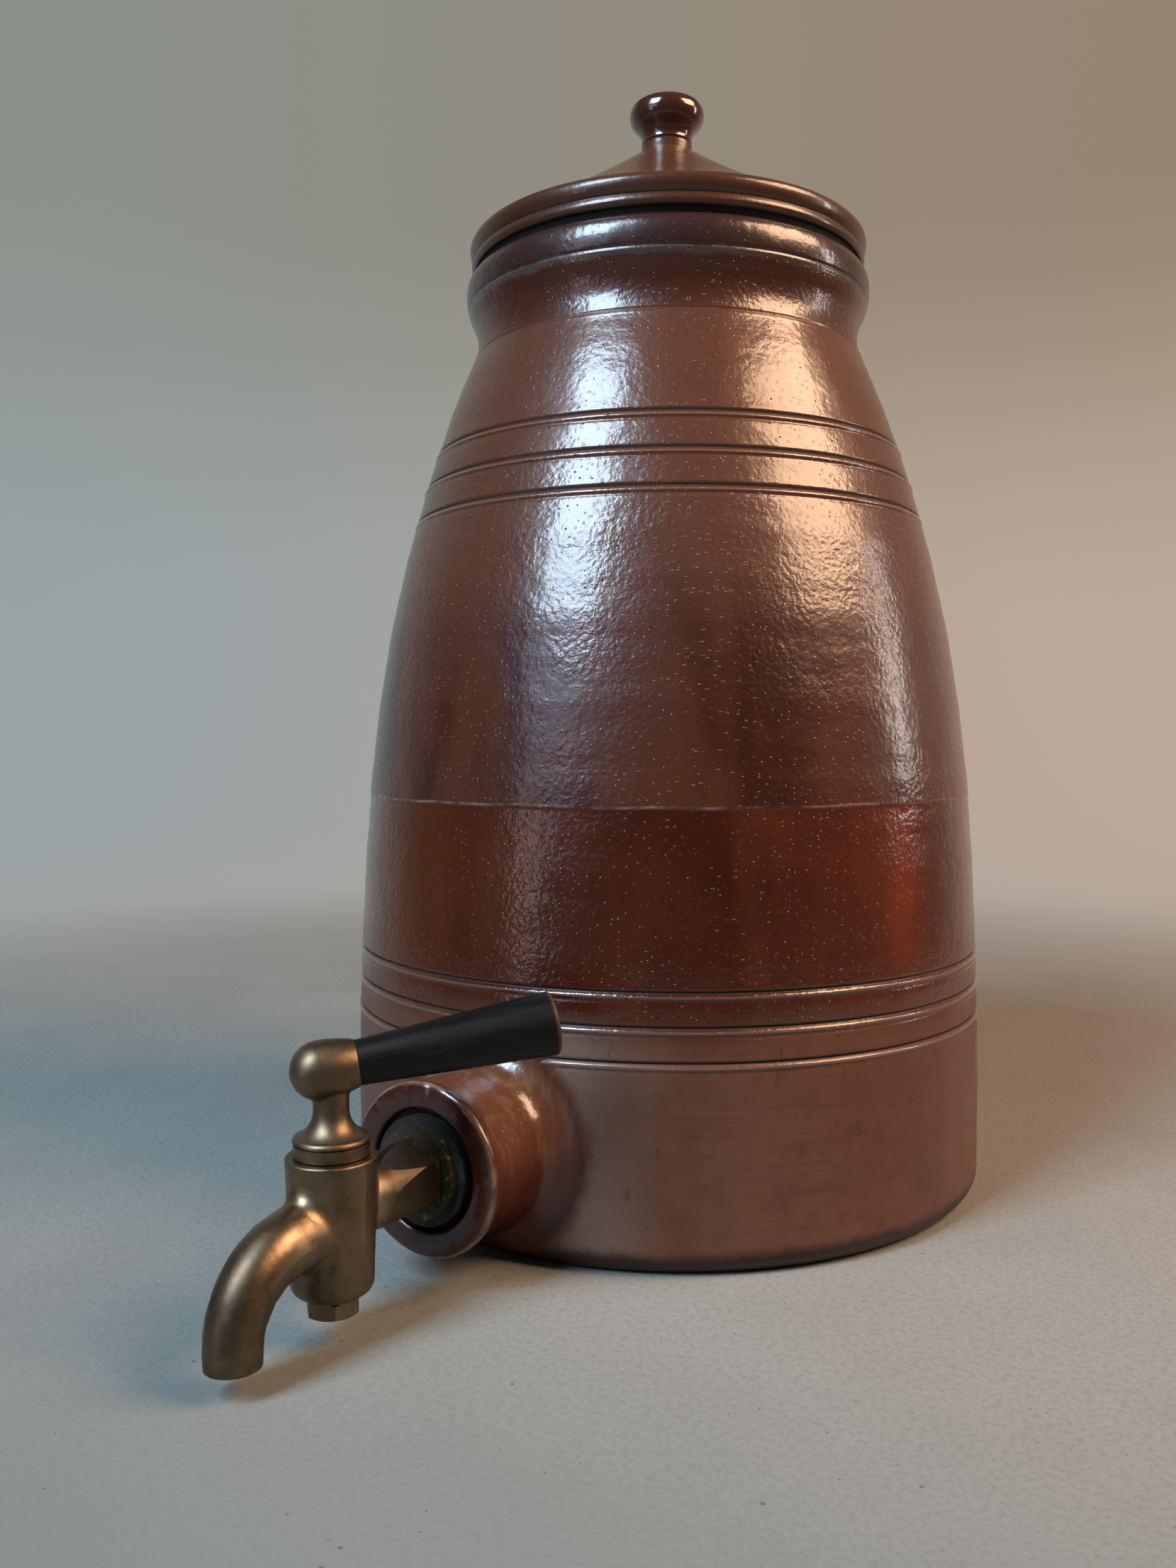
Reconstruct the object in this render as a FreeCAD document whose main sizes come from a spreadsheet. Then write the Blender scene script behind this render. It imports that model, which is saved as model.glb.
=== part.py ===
import FreeCAD, Part
import math
import os
import re

import Sketcher

# A salt-glazed stoneware pot for drinking water, with a lid and a brass plug-cock tap.
# Millimetres. The origin is the centre of the pot's underside, +Z is up, the tap points to -Y.

SIZES = {
    # Pot, outside: a straight foot, then two tangent arcs up to the line at the neck.
    "base_radius": 100.0,
    "base_round": 6.5,
    "belly_height": 27.0,
    "belly_curve": 1105.0,
    "shoulder_height": 135.0,
    "shoulder_curve": 416.0,
    "neck_height": 260.0,
    # Pot, hollow neck and rolled collar.
    "cove_height": 11.5,
    "cove_curve": 15.0,
    "collar_stand": 2.4,
    "collar_swell": 9.2,
    "collar_roll": 5.5,
    "lip_round": 4.2,
    # Pot, inside.
    "wall": 9.0,
    "floor_thickness": 12.0,
    "floor_corner": 6.0,
    # Turned rings: three below the neck, three above the boss, and the line at the neck.
    "ring_width": 1.6,
    "ring_depth": 0.6,
    "line_width": 1.0,
    "line_depth": 0.5,
    "collar_line_drop": 4.0,
    "upper_ring_height": 207.5,
    "upper_ring_pitch": 10.7,
    "lower_ring_height": 56.1,
    "lower_ring_pitch": 9.1,
    # Boss that carries the tap.
    "tap_height": 30.7,
    "boss_length": 25.6,
    "boss_radius": 22.5,
    "boss_edge": 2.4,
    "boss_rim": 7.0,
    "boss_waist": 1.2,
    "boss_flare": 24.0,
    "boss_blend": 7.0,
    "recess_radius": 15.6,
    "recess_depth": 3.0,
    "seat_depth": 0.5,
    # Lid, measured up from the lip that it rests on.
    "lid_gap": 0.1,
    "lid_clearance": 1.5,
    "lid_inset": 1.1,
    "lid_wall": 7.0,
    "seat_width": 8.3,
    "spigot_length": 12.0,
    "spigot_thickness": 5.5,
    "spigot_round": 1.5,
    "rim_underside": 3.1,
    "bead_inset": 0.5,
    "bead_round": 1.5,
    "rim_height": 8.7,
    "rim_roll": 2.8,
    "rim_waist": 0.9,
    "cone_foot": 11.1,
    "cone_inset": 4.2,
    "cone_curve": 480.0,
    "cone_rise": 30.9,
    "knob_neck_radius": 8.0,
    "knob_neck_height": 3.6,
    "knob_cove_width": 1.9,
    "knob_cove_height": 3.8,
    "knob_radius": 12.0,
    "knob_swell_height": 4.6,
    "knob_crown_height": 4.0,
    "knob_dome_radius": 8.3,
    "knob_dome_height": 2.1,
    "knob_line_width": 0.7,
    "knob_line_depth": 0.35,
    # Tap body.
    "barrel_distance": 32.4,
    "barrel_rise": 13.1,
    "barrel_drop": 19.2,
    "barrel_top_radius": 10.7,
    "barrel_foot_radius": 9.7,
    "barrel_foot_round": 3.0,
    "barrel_edge": 0.6,
    "shank_root_radius": 7.1,
    "shank_flare_radius": 10.4,
    "shank_flats": 17.0,
    "flange_radius": 11.8,
    "flange_thickness": 2.5,
    "tail_radius": 8.2,
    "tail_stub": 3.5,
    "waterway_radius": 4.7,
    "port_radius": 2.7,
    "port_wall": 1.0,
    "spout_drop": 2.9,
    "spout_lead": 1.6,
    "spout_bend": 18.0,
    "spout_end": 3.3,
    "spout_root_radius": 8.1,
    "spout_tip_radius": 6.3,
    "spout_blend": 4.0,
    "shank_blend": 1.2,
    # Key: tapered plug, band, bell, neck and ball.
    "plug_top_radius": 7.8,
    "plug_foot_radius": 5.6,
    "plug_clearance": 0.05,
    "plug_gap": 0.3,
    "slot_half_width": 1.9,
    "slot_height": 9.0,
    "band_radius": 8.8,
    "key_band": 2.8,
    "key_groove": 0.5,
    "bell_radius": 9.0,
    "bell_round": 1.2,
    "bell_height": 6.0,
    "bell_curve": 6.6,
    "key_neck_radius": 4.15,
    "key_neck_blend": 1.6,
    "ball_height": 33.3,
    "ball_radius": 6.9,
    "ball_centre": 2.6,
    "ball_curve": 27.0,
    "socket_face": 6.0,
    "socket_radius": 5.5,
    "stub_radius": 3.0,
    # Key washer and nut.
    "washer_gap": 0.1,
    "key_washer_radius": 5.9,
    "key_washer_thickness": 0.8,
    "key_nut_flats": 11.4,
    "key_nut_thickness": 3.7,
    "key_nut_chamfer": 0.5,
    "stub_end": 0.4,
    "thread_clearance": 0.05,
    # Handle.
    "handle_azimuth": 48.5,
    "handle_tilt": 7.8,
    "grip_length": 47.7,
    "grip_root_radius": 5.3,
    "grip_tip_radius": 7.75,
    "grip_edge": 1.0,
    "rod_radius": 2.0,
    "rod_in_ball": 4.5,
    "rod_in_grip": 34.0,
    "rod_clearance": 0.05,
    # Seals and back nut on the tap's tail.
    "outer_gasket_radius": 14.0,
    "outer_gasket_thickness": 3.6,
    "inner_gasket_radius": 13.2,
    "inner_gasket_thickness": 2.5,
    "seat_margin": 0.8,
    "tail_clearance": 0.1,
    "bore_clearance": 1.2,
    "inner_washer_radius": 12.6,
    "inner_washer_thickness": 1.2,
    "back_nut_flats": 24.0,
    "back_nut_thickness": 6.0,
    "back_nut_chamfer": 1.0,
}

RINGS = 3
QUARTER_TURN = "90"
# An edge no taller than this lies in one plane.
FLAT = 0.01

# Radii and places that follow from the sizes, as formulas in their names.
BELLY_X = "(base_radius - belly_curve)"
TURN = "((shoulder_height - belly_height) / belly_curve)"
SHOULDER_RADIUS = f"({BELLY_X} + belly_curve * sqrt(1 - {TURN} ^ 2))"
SHOULDER_X = f"({BELLY_X} + (belly_curve - shoulder_curve) * sqrt(1 - {TURN} ^ 2))"
SHOULDER_Z = f"(belly_height + (belly_curve - shoulder_curve) * {TURN})"
NECK_RADIUS = f"({SHOULDER_X} + sqrt(shoulder_curve ^ 2 - (neck_height - {SHOULDER_Z}) ^ 2))"
MOUTH_RADIUS = f"({NECK_RADIUS} - wall)"
COLLAR_RADIUS = f"({NECK_RADIUS} + collar_stand)"
COLLAR_MIDDLE = "(neck_height + cove_height + collar_swell)"
LIP_TOP = f"({COLLAR_MIDDLE} + collar_roll)"
LIP_RADIUS = f"({COLLAR_RADIUS} - collar_roll)"
INNER_RADIUS = "(base_radius - wall)"
RIM_RADIUS = f"({COLLAR_RADIUS} - lid_inset)"
BOSS_FACE = "(base_radius + boss_length)"
BARREL_Y = f"({BOSS_FACE} + barrel_distance)"
# Distances from the pot's axis, along the tap.
GASKET_SEAT = f"({BOSS_FACE} - recess_depth)"
FLANGE_BACK = f"({GASKET_SEAT} + outer_gasket_thickness)"
FLANGE_FRONT = f"({FLANGE_BACK} + flange_thickness)"
INNER_SEAT = f"({INNER_RADIUS} + seat_depth)"
WASHER_SEAT = f"({INNER_SEAT} - inner_gasket_thickness)"
NUT_SEAT = f"({WASHER_SEAT} - inner_washer_thickness)"
NUT_BACK = f"({NUT_SEAT} - back_nut_thickness)"
TAIL_END = f"({NUT_BACK} - tail_stub)"
STUB_LENGTH = "(barrel_drop + washer_gap + key_washer_thickness + key_nut_thickness + stub_end)"
SPOUT_RUN = "(barrel_top_radius + spout_lead)"


def sized(words):
    """The formula with each size named as the sheet's cell."""
    def named(match):
        word = match.group(0)
        return f"Sizes.{word}" if word in SIZES else word
    return re.sub(r"[a-z][a-z_]*", named, words)


def add_sheet(doc):
    sheet = doc.addObject("Spreadsheet::Sheet", "Sizes")
    for row, (name, value) in enumerate(SIZES.items(), start=1):
        sheet.set(f"A{row}", name)
        sheet.set(f"B{row}", str(value))
        sheet.setAlias(f"B{row}", name)
    doc.recompute()


def add_body(doc, name, ahead="0", up="0", turn="0", roll="0"):
    """A body placed ahead of the pot's axis (towards -Y) and up, turned about Z and rolled about X."""
    body = doc.addObject("PartDesign::Body", name)
    body.Label = name
    body.setExpression("Placement.Base.y", sized(f"-1 * {ahead}"))
    body.setExpression("Placement.Base.z", sized(up))
    body.setExpression("Placement.Rotation.Yaw", sized(turn))
    body.setExpression("Placement.Rotation.Roll", sized(roll))
    return body


def add_sketch(body, name, plane, up="0", out="0", tilt="0"):
    """A sketch on one of the body's origin planes, moved up and out of it and tilted in it."""
    sketch = body.newObject("Sketcher::SketchObject", name)
    support = [part for part in body.Origin.OriginFeatures if part.Role == plane]
    sketch.AttachmentSupport = [(support[0], "")]
    sketch.MapMode = "FlatFace"
    sketch.setExpression("AttachmentOffset.Base.y", sized(up))
    sketch.setExpression("AttachmentOffset.Base.z", sized(out))
    sketch.setExpression("AttachmentOffset.Rotation.Angle", sized(tilt))
    return sketch


def number(sketch, words):
    return float(sketch.evalExpression(sized(words)))


def bind(sketch, kind, places, words):
    index = sketch.addConstraint(Sketcher.Constraint(kind, *places, number(sketch, words)))
    sketch.setExpression(f"Constraints[{index}]", sized(words))


def arc_through(start, end, radius):
    """The short arc from start to end; a positive radius turns anticlockwise."""
    chord = end - start
    left = FreeCAD.Vector(-chord.y, chord.x, 0).normalize()
    height = math.sqrt(radius ** 2 - chord.Length ** 2 / 4)
    side = 1 if radius > 0 else -1
    middle = (start + end) / 2 + left * side * (height - abs(radius))
    return Part.Arc(start, middle, end)


def draw(sketch, corners, closed=True):
    """An outline through corners of (x, y), or (x, y, radius) where an arc leads to the corner."""
    points = [FreeCAD.Vector(number(sketch, x), number(sketch, y), 0) for x, y, *_ in corners]
    count = len(corners)
    first = previous = None
    for step in range(1, count + 1 if closed else count):
        start, end = points[step - 1], points[step % count]
        x, y, *bend = corners[step % count]
        if bend:
            radius = number(sketch, bend[0])
            edge = sketch.addGeometry(arc_through(start, end, radius))
            start_end, far_end = (1, 2) if radius > 0 else (2, 1)
        else:
            edge = sketch.addGeometry(Part.LineSegment(start, end))
            start_end, far_end = 1, 2
        if previous is None:
            first = (edge, start_end)
            bind(sketch, "DistanceX", first, corners[0][0])
            bind(sketch, "DistanceY", first, corners[0][1])
        else:
            sketch.addConstraint(Sketcher.Constraint("Coincident", edge, start_end, *previous))
        previous = (edge, far_end)
        if step == count:
            sketch.addConstraint(Sketcher.Constraint("Coincident", *previous, *first))
        else:
            bind(sketch, "DistanceX", previous, x)
            bind(sketch, "DistanceY", previous, y)
        if bend:
            bind(sketch, "Radius", (edge,), f"abs({bend[0]})")


def draw_circle(sketch, radius, x="0", y="0"):
    centre = FreeCAD.Vector(number(sketch, x), number(sketch, y), 0)
    up = FreeCAD.Vector(0, 0, 1)
    edge = sketch.addGeometry(Part.Circle(centre, up, number(sketch, radius)))
    bind(sketch, "DistanceX", (edge, 3), x)
    bind(sketch, "DistanceY", (edge, 3), y)
    bind(sketch, "Radius", (edge,), radius)


def draw_hexagon(sketch, flats):
    """A hexagon on its centre, with corners on the sketch's vertical axis."""
    half, corner = f"({flats}) / 2", f"({flats}) / sqrt(3)"
    low = f"({flats}) / sqrt(12)"
    draw(sketch, [("0", f"-1 * {corner}"), (half, f"-1 * {low}"), (half, low),
                  ("0", corner), (f"-1 * {half}", low), (f"-1 * {half}", f"-1 * {low}")])


def turn(body, kind, name, sketch, axis="V_Axis"):
    """Revolve a sketch's outline, as a Revolution or a Groove."""
    feature = body.newObject(f"PartDesign::{kind}", name)
    feature.Profile = (sketch, [""])
    feature.ReferenceAxis = (sketch, [axis])
    feature.Angle = 360
    return feature


def push(body, kind, name, sketch, length, side="One side", reverse=False):
    """Pad or pocket a sketch's outline."""
    feature = body.newObject(f"PartDesign::{kind}", name)
    feature.Profile = (sketch, [""])
    feature.setExpression("Length", sized(length))
    feature.SideType = side
    feature.Reversed = reverse
    return feature


def pipe(body, kind, name, path, sections):
    """Sweep one section, or blend two, along a path."""
    feature = body.newObject(f"PartDesign::{kind}", name)
    feature.Profile = (sections[0], [""])
    feature.Spine = (path, [f"Edge{place}" for place in range(1, path.GeometryCount + 1)])
    if sections[1:]:
        feature.Sections = [(section, [""]) for section in sections[1:]]
        feature.Transformation = "Multisection"
    return feature


def between(edge, low, high, direction):
    """Whether an edge lies between two places along X, Y or Z, and isn't flat across it."""
    near = getattr(edge.BoundBox, f"{direction}Min")
    far = getattr(edge.BoundBox, f"{direction}Max")
    return low + FLAT < near and near + FLAT < far and far + FLAT < high


def fillet(body, name, base, radius, chosen):
    """Round those edges of the base feature that the test chooses."""
    body.Document.recompute()
    edges = [f"Edge{place}" for place, edge in enumerate(base.Shape.Edges, start=1) if chosen(edge)]
    feature = body.newObject("PartDesign::Fillet", name)
    feature.Base = (base, edges)
    feature.setExpression("Radius", sized(radius))
    return feature


def rounding(across, along):
    """Radius of the arc that leaves the upright and moves this far across and along."""
    return f"((({across}) ^ 2 + ({along}) ^ 2) / (2 * ({across})))"


def notch(sketch, surface, height, width, depth):
    """A V cut in a turned surface."""
    draw(sketch, [(f"{surface} - {depth}", height),
                  (f"{surface} + {depth}", f"{height} - {width}"),
                  (f"{surface} + {depth}", f"{height} + {width}")])


def shoulder_at(height):
    return f"({SHOULDER_X} + sqrt(shoulder_curve ^ 2 - ({height} - {SHOULDER_Z}) ^ 2))"


def belly_at(height):
    return f"({BELLY_X} + sqrt(belly_curve ^ 2 - ({height} - belly_height) ^ 2))"


def jar(doc):
    body = add_body(doc, "jar")
    shape = add_sketch(body, "jar_outline", "XZ_Plane")
    inner_turn_radius = f"({SHOULDER_RADIUS} - wall * sqrt(1 - {TURN} ^ 2))"
    inner_turn_height = f"(shoulder_height - wall * {TURN})"
    inner_neck_height = (f"({SHOULDER_Z} + sqrt((shoulder_curve - wall) ^ 2"
                         f" - ({MOUTH_RADIUS} - {SHOULDER_X}) ^ 2))")
    draw(shape, [
        ("0", "0"),
        ("base_radius - base_round", "0"),
        ("base_radius", "base_round", "base_round"),
        ("base_radius", "belly_height"),
        (SHOULDER_RADIUS, "shoulder_height", "belly_curve"),
        (NECK_RADIUS, "neck_height", "shoulder_curve"),
        (NECK_RADIUS, "neck_height + cove_height", "-1 * cove_curve"),
        (COLLAR_RADIUS, COLLAR_MIDDLE, rounding("collar_stand", "collar_swell")),
        (LIP_RADIUS, LIP_TOP, "collar_roll"),
        (f"{MOUTH_RADIUS} + lip_round", LIP_TOP),
        (MOUTH_RADIUS, f"{LIP_TOP} - lip_round", "lip_round"),
        (MOUTH_RADIUS, inner_neck_height),
        (inner_turn_radius, inner_turn_height, "-1 * (shoulder_curve - wall)"),
        (INNER_RADIUS, "belly_height", "-1 * (belly_curve - wall)"),
        (INNER_RADIUS, "floor_thickness + floor_corner"),
        (f"{INNER_RADIUS} - floor_corner", "floor_thickness", "-1 * floor_corner"),
        ("0", "floor_thickness"),
    ])
    turn(body, "Revolution", "shell", shape)

    shape = add_sketch(body, "boss_outline", "YZ_Plane", up="tap_height")
    root = f"-1 * ({INNER_RADIUS} + wall / 2)"
    waist = "boss_radius - boss_waist"
    draw(shape, [
        (f"-1 * {BOSS_FACE}", "0"),
        (root, "0"),
        (root, waist),
        (f"-1 * ({BOSS_FACE} - boss_edge - boss_rim)", waist),
        (f"-1 * ({BOSS_FACE} - boss_edge)", "boss_radius", "-1 * boss_flare"),
        (f"-1 * {BOSS_FACE}", "boss_radius - boss_edge", "boss_edge"),
    ])
    boss = turn(body, "Revolution", "boss", shape, "H_Axis")
    outside = number(shape, "-1 * base_radius - ring_depth")
    inside = number(shape, f"-1 * {INNER_RADIUS}")
    fillet(body, "boss_blend", boss, "boss_blend",
           lambda edge: between(edge, outside, inside, "Y"))

    shape = add_sketch(body, "tap_hole_outline", "YZ_Plane", up="tap_height")
    bore = "tail_radius + bore_clearance"
    spot = "inner_gasket_radius + seat_margin"
    draw(shape, [
        (f"-1 * {BOSS_FACE}", "0"),
        (f"-1 * {TAIL_END}", "0"),
        (f"-1 * {TAIL_END}", spot),
        (f"-1 * {INNER_SEAT}", spot),
        (f"-1 * {INNER_SEAT}", bore),
        (f"-1 * {GASKET_SEAT}", bore),
        (f"-1 * {GASKET_SEAT}", "recess_radius"),
        (f"-1 * {BOSS_FACE}", "recess_radius"),
    ])
    turn(body, "Groove", "tap_hole", shape, "H_Axis")

    shape = add_sketch(body, "ring_outlines", "XZ_Plane")
    for ring in range(RINGS):
        upper = f"(upper_ring_height + {ring} * upper_ring_pitch)"
        notch(shape, shoulder_at(upper), upper, "ring_width", "ring_depth")
        lower = f"(lower_ring_height + {ring} * lower_ring_pitch)"
        notch(shape, belly_at(lower), lower, "ring_width", "ring_depth")
    notch(shape, NECK_RADIUS, "neck_height", "line_width", "line_depth")
    swell = rounding("collar_stand", "collar_swell")
    under_collar = f"({COLLAR_RADIUS} - {swell} + sqrt({swell} ^ 2 - collar_line_drop ^ 2))"
    notch(shape, under_collar, f"{COLLAR_MIDDLE} - collar_line_drop", "line_width", "line_depth")
    turn(body, "Groove", "rings", shape)
    return body


def lid(doc):
    body = add_body(doc, "lid", up=f"({LIP_TOP} + lid_gap)")
    shape = add_sketch(body, "lid_outline", "XZ_Plane")
    spigot = f"({MOUTH_RADIUS} - lid_clearance)"
    hollow = f"({spigot} - spigot_thickness)"
    slope = f"(cone_rise / ({RIM_RADIUS} - cone_inset - knob_neck_radius))"

    def under_cone(radius):
        return (f"cone_foot + {slope} * ({RIM_RADIUS} - cone_inset - {radius})"
                f" - lid_wall * sqrt(1 + {slope} ^ 2)")

    neck_top = "(cone_foot + cone_rise + knob_neck_height)"
    knob_middle = f"({neck_top} + knob_cove_height + knob_swell_height)"
    swell = "(knob_radius - knob_neck_radius - knob_cove_width)"
    crown = "(knob_radius - knob_dome_radius)"
    draw(shape, [
        ("0", under_cone("knob_neck_radius")),
        ("knob_neck_radius", under_cone("knob_neck_radius")),
        (hollow, under_cone(hollow)),
        (hollow, "spigot_round - spigot_length"),
        (f"{hollow} + spigot_round", "-1 * spigot_length", "spigot_round"),
        (f"{spigot} - spigot_round", "-1 * spigot_length"),
        (spigot, "spigot_round - spigot_length", "spigot_round"),
        (spigot, "0"),
        (f"{spigot} + seat_width", "0"),
        (f"{RIM_RADIUS} - bead_inset - bead_round", "rim_underside"),
        (f"{RIM_RADIUS} - bead_inset", "rim_underside + bead_round", "bead_round"),
        (f"{RIM_RADIUS} - rim_waist", "rim_height - rim_roll"),
        (RIM_RADIUS, "rim_height", rounding("rim_waist", "rim_roll")),
        (f"{RIM_RADIUS} - rim_roll", "rim_height + rim_roll", "rim_roll"),
        (f"{RIM_RADIUS} - cone_inset", "cone_foot"),
        ("knob_neck_radius", "cone_foot + cone_rise", "-1 * cone_curve"),
        ("knob_neck_radius", neck_top),
        ("knob_neck_radius + knob_cove_width", f"{neck_top} + knob_cove_height",
         f"-1 * {rounding('knob_cove_width', 'knob_cove_height')}"),
        ("knob_radius", knob_middle, rounding(swell, "knob_swell_height")),
        ("knob_dome_radius", f"{knob_middle} + knob_crown_height",
         rounding(crown, "knob_crown_height")),
        ("0", f"{knob_middle} + knob_crown_height + knob_dome_height",
         rounding("knob_dome_height", "knob_dome_radius")),
    ])
    turn(body, "Revolution", "lid_shell", shape)
    shape = add_sketch(body, "knob_line_outline", "XZ_Plane")
    notch(shape, "knob_neck_radius", f"{neck_top} - knob_line_width", "knob_line_width",
          "knob_line_depth")
    turn(body, "Groove", "knob_line", shape)
    return body


def tap_body(doc):
    body = add_body(doc, "tap_body", ahead=BARREL_Y, up="tap_height")
    shape = add_sketch(body, "shank_outline", "YZ_Plane")
    flange_front = f"({BARREL_Y} - {FLANGE_FRONT})"
    flange_back = f"({BARREL_Y} - {FLANGE_BACK})"
    tail_end = f"({BARREL_Y} - {TAIL_END})"
    draw(shape, [
        ("0", "0"),
        (tail_end, "0"),
        (tail_end, "tail_radius"),
        (flange_back, "tail_radius"),
        (flange_back, "flange_radius"),
        (flange_front, "flange_radius"),
        (flange_front, "shank_flare_radius"),
        ("0", "shank_root_radius"),
    ])
    turn(body, "Revolution", "shank", shape, "H_Axis")

    shape = add_sketch(body, "flats_outline", "XZ_Plane", out=f"-1 * {flange_front}")
    draw_hexagon(shape, "shank_flats")
    draw_circle(shape, "flange_radius")
    push(body, "Pocket", "flats", shape, f"{flange_front} - barrel_top_radius", reverse=True)

    shape = add_sketch(body, "barrel_outline", "XZ_Plane")
    draw(shape, [
        ("0", "-1 * barrel_drop"),
        ("barrel_foot_radius - barrel_foot_round", "-1 * barrel_drop"),
        ("barrel_foot_radius", "barrel_foot_round - barrel_drop", "barrel_foot_round"),
        ("barrel_top_radius", "barrel_rise - barrel_edge"),
        ("barrel_top_radius - barrel_edge", "barrel_rise", "barrel_edge"),
        ("0", "barrel_rise"),
    ])
    turn(body, "Revolution", "barrel", shape)

    bend_start = (f"-1 * {SPOUT_RUN}", "-1 * spout_drop")
    bend_end = (f"-1 * ({SPOUT_RUN} + spout_bend)", "-1 * (spout_drop + spout_bend)", "spout_bend")
    tip = (bend_end[0], "-1 * (spout_drop + spout_bend + spout_end)")
    path = add_sketch(body, "spout_path", "YZ_Plane")
    draw(path, [("0", "-1 * spout_drop"), bend_start, bend_end, tip], closed=False)
    root_section = add_sketch(body, "spout_root", "XZ_Plane")
    draw_circle(root_section, "spout_root_radius", y="-1 * spout_drop")
    tip_section = add_sketch(body, "spout_tip", "XY_Plane", out=tip[1])
    draw_circle(tip_section, "spout_tip_radius", y=tip[0])
    spout = pipe(body, "AdditivePipe", "spout", path, [root_section, tip_section])
    reach = number(path, "barrel_top_radius + spout_blend")
    spout_blend = fillet(body, "spout_blend", spout, "spout_blend",
                         lambda edge: between(edge, -reach, 0, "Y"))
    fillet(body, "shank_blend", spout_blend, "shank_blend",
           lambda edge: between(edge, 0, reach, "Y"))

    shape = add_sketch(body, "plug_seat_outline", "XZ_Plane")
    draw(shape, [("0", "-1 * barrel_drop"), ("plug_foot_radius", "-1 * barrel_drop"),
                 ("plug_top_radius", "barrel_rise"), ("0", "barrel_rise")])
    turn(body, "Groove", "plug_seat", shape)

    shape = add_sketch(body, "inlet_outline", "YZ_Plane")
    wide_from = "(plug_top_radius + port_wall)"
    draw(shape, [("0", "0"), (tail_end, "0"), (tail_end, "waterway_radius"),
                 (wide_from, "waterway_radius"), (wide_from, "port_radius"), ("0", "port_radius")])
    turn(body, "Groove", "inlet", shape, "H_Axis")

    shape = add_sketch(body, "outlet_port_outline", "XZ_Plane")
    draw_circle(shape, "port_radius", y="-1 * spout_drop")
    push(body, "Pocket", "outlet_port", shape, SPOUT_RUN, reverse=True)
    path = add_sketch(body, "outlet_path", "YZ_Plane")
    draw(path, [(f"-1 * {wide_from}", "-1 * spout_drop"), bend_start, bend_end, tip],
         closed=False)
    section = add_sketch(body, "outlet_section", "XZ_Plane", out=wide_from)
    draw_circle(section, "waterway_radius", y="-1 * spout_drop")
    pipe(body, "SubtractivePipe", "outlet", path, [section])
    return body


def seat_at(height):
    """Radius of the barrel's tapered seat at a height."""
    return (f"(plug_foot_radius + (plug_top_radius - plug_foot_radius)"
            f" * ({height} + barrel_drop) / (barrel_rise + barrel_drop))")


def tap_key(doc):
    body = add_body(doc, "tap_key", ahead=BARREL_Y, up="tap_height", turn="handle_azimuth")
    plug_foot = "(plug_gap - barrel_drop)"
    band_foot = "(barrel_rise + plug_gap)"
    band_top = f"({band_foot} + key_band)"
    bell_foot = f"({band_top} + key_groove)"
    bell_top = f"({bell_foot} + bell_round + bell_height)"
    shape = add_sketch(body, "key_outline", "XZ_Plane")
    draw(shape, [
        ("0", f"-1 * {STUB_LENGTH}"),
        ("stub_radius", f"-1 * {STUB_LENGTH}"),
        ("stub_radius", plug_foot),
        (f"{seat_at(plug_foot)} - plug_clearance", plug_foot),
        ("plug_top_radius - plug_clearance", "barrel_rise"),
        ("plug_top_radius - plug_clearance", band_foot),
        ("band_radius", band_foot),
        ("band_radius", band_top),
        ("band_radius - key_groove", band_top),
        ("band_radius - key_groove", bell_foot),
        ("bell_radius", bell_foot),
        ("bell_radius - bell_round", f"{bell_foot} + bell_round", "bell_round"),
        ("key_neck_radius", bell_top, "-1 * bell_curve"),
        ("key_neck_radius", "ball_height"),
        ("0", "ball_height"),
    ])
    turn(body, "Revolution", "plug_and_bell", shape)

    shape = add_sketch(body, "ball_outline", "XZ_Plane", up="ball_height", tilt="handle_tilt")
    draw(shape, [
        ("-1 * (ball_centre + ball_radius)", "0", "ball_radius"),
        ("socket_face", "0"),
        ("socket_face", "socket_radius"),
        ("-1 * ball_centre", "ball_radius", "ball_curve"),
    ])
    ball = turn(body, "Revolution", "ball", shape, "H_Axis")
    neck_foot = number(shape, bell_top)
    neck_head = number(shape, "ball_height")
    fillet(body, "neck_blend", ball, "key_neck_blend",
           lambda edge: between(edge, neck_foot, neck_head, "Z"))

    shape = add_sketch(body, "socket_outline", "XZ_Plane", up="ball_height", tilt="handle_tilt")
    bottom = "socket_face - rod_in_ball"
    wide = "rod_radius + rod_clearance"
    draw(shape, [(bottom, "0"), ("socket_face", "0"), ("socket_face", wide), (bottom, wide)])
    turn(body, "Groove", "socket", shape, "H_Axis")

    shape = add_sketch(body, "slot_outline", "YZ_Plane", up="-1 * spout_drop / 2")
    half, end = "slot_half_width", "(slot_height / 2 - slot_half_width)"
    draw(shape, [
        (half, f"-1 * {end}", half),
        (half, end),
        ("0", "slot_height / 2", half),
        (f"-1 * {half}", end, half),
        (f"-1 * {half}", f"-1 * {end}"),
        ("0", "-1 * slot_height / 2", half),
    ])
    push(body, "Pocket", "slot", shape, "2 * band_radius", side="Symmetric")
    return body


def ring(doc, name, outer, bore, thickness, **place):
    """A flat ring that lies on its own XY plane."""
    body = add_body(doc, name, **place)
    shape = add_sketch(body, f"{name}_outline", "XZ_Plane")
    draw(shape, [(bore, "0"), (outer, "0"), (outer, thickness), (bore, thickness)])
    turn(body, "Revolution", f"{name}_ring", shape)
    return body


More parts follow.
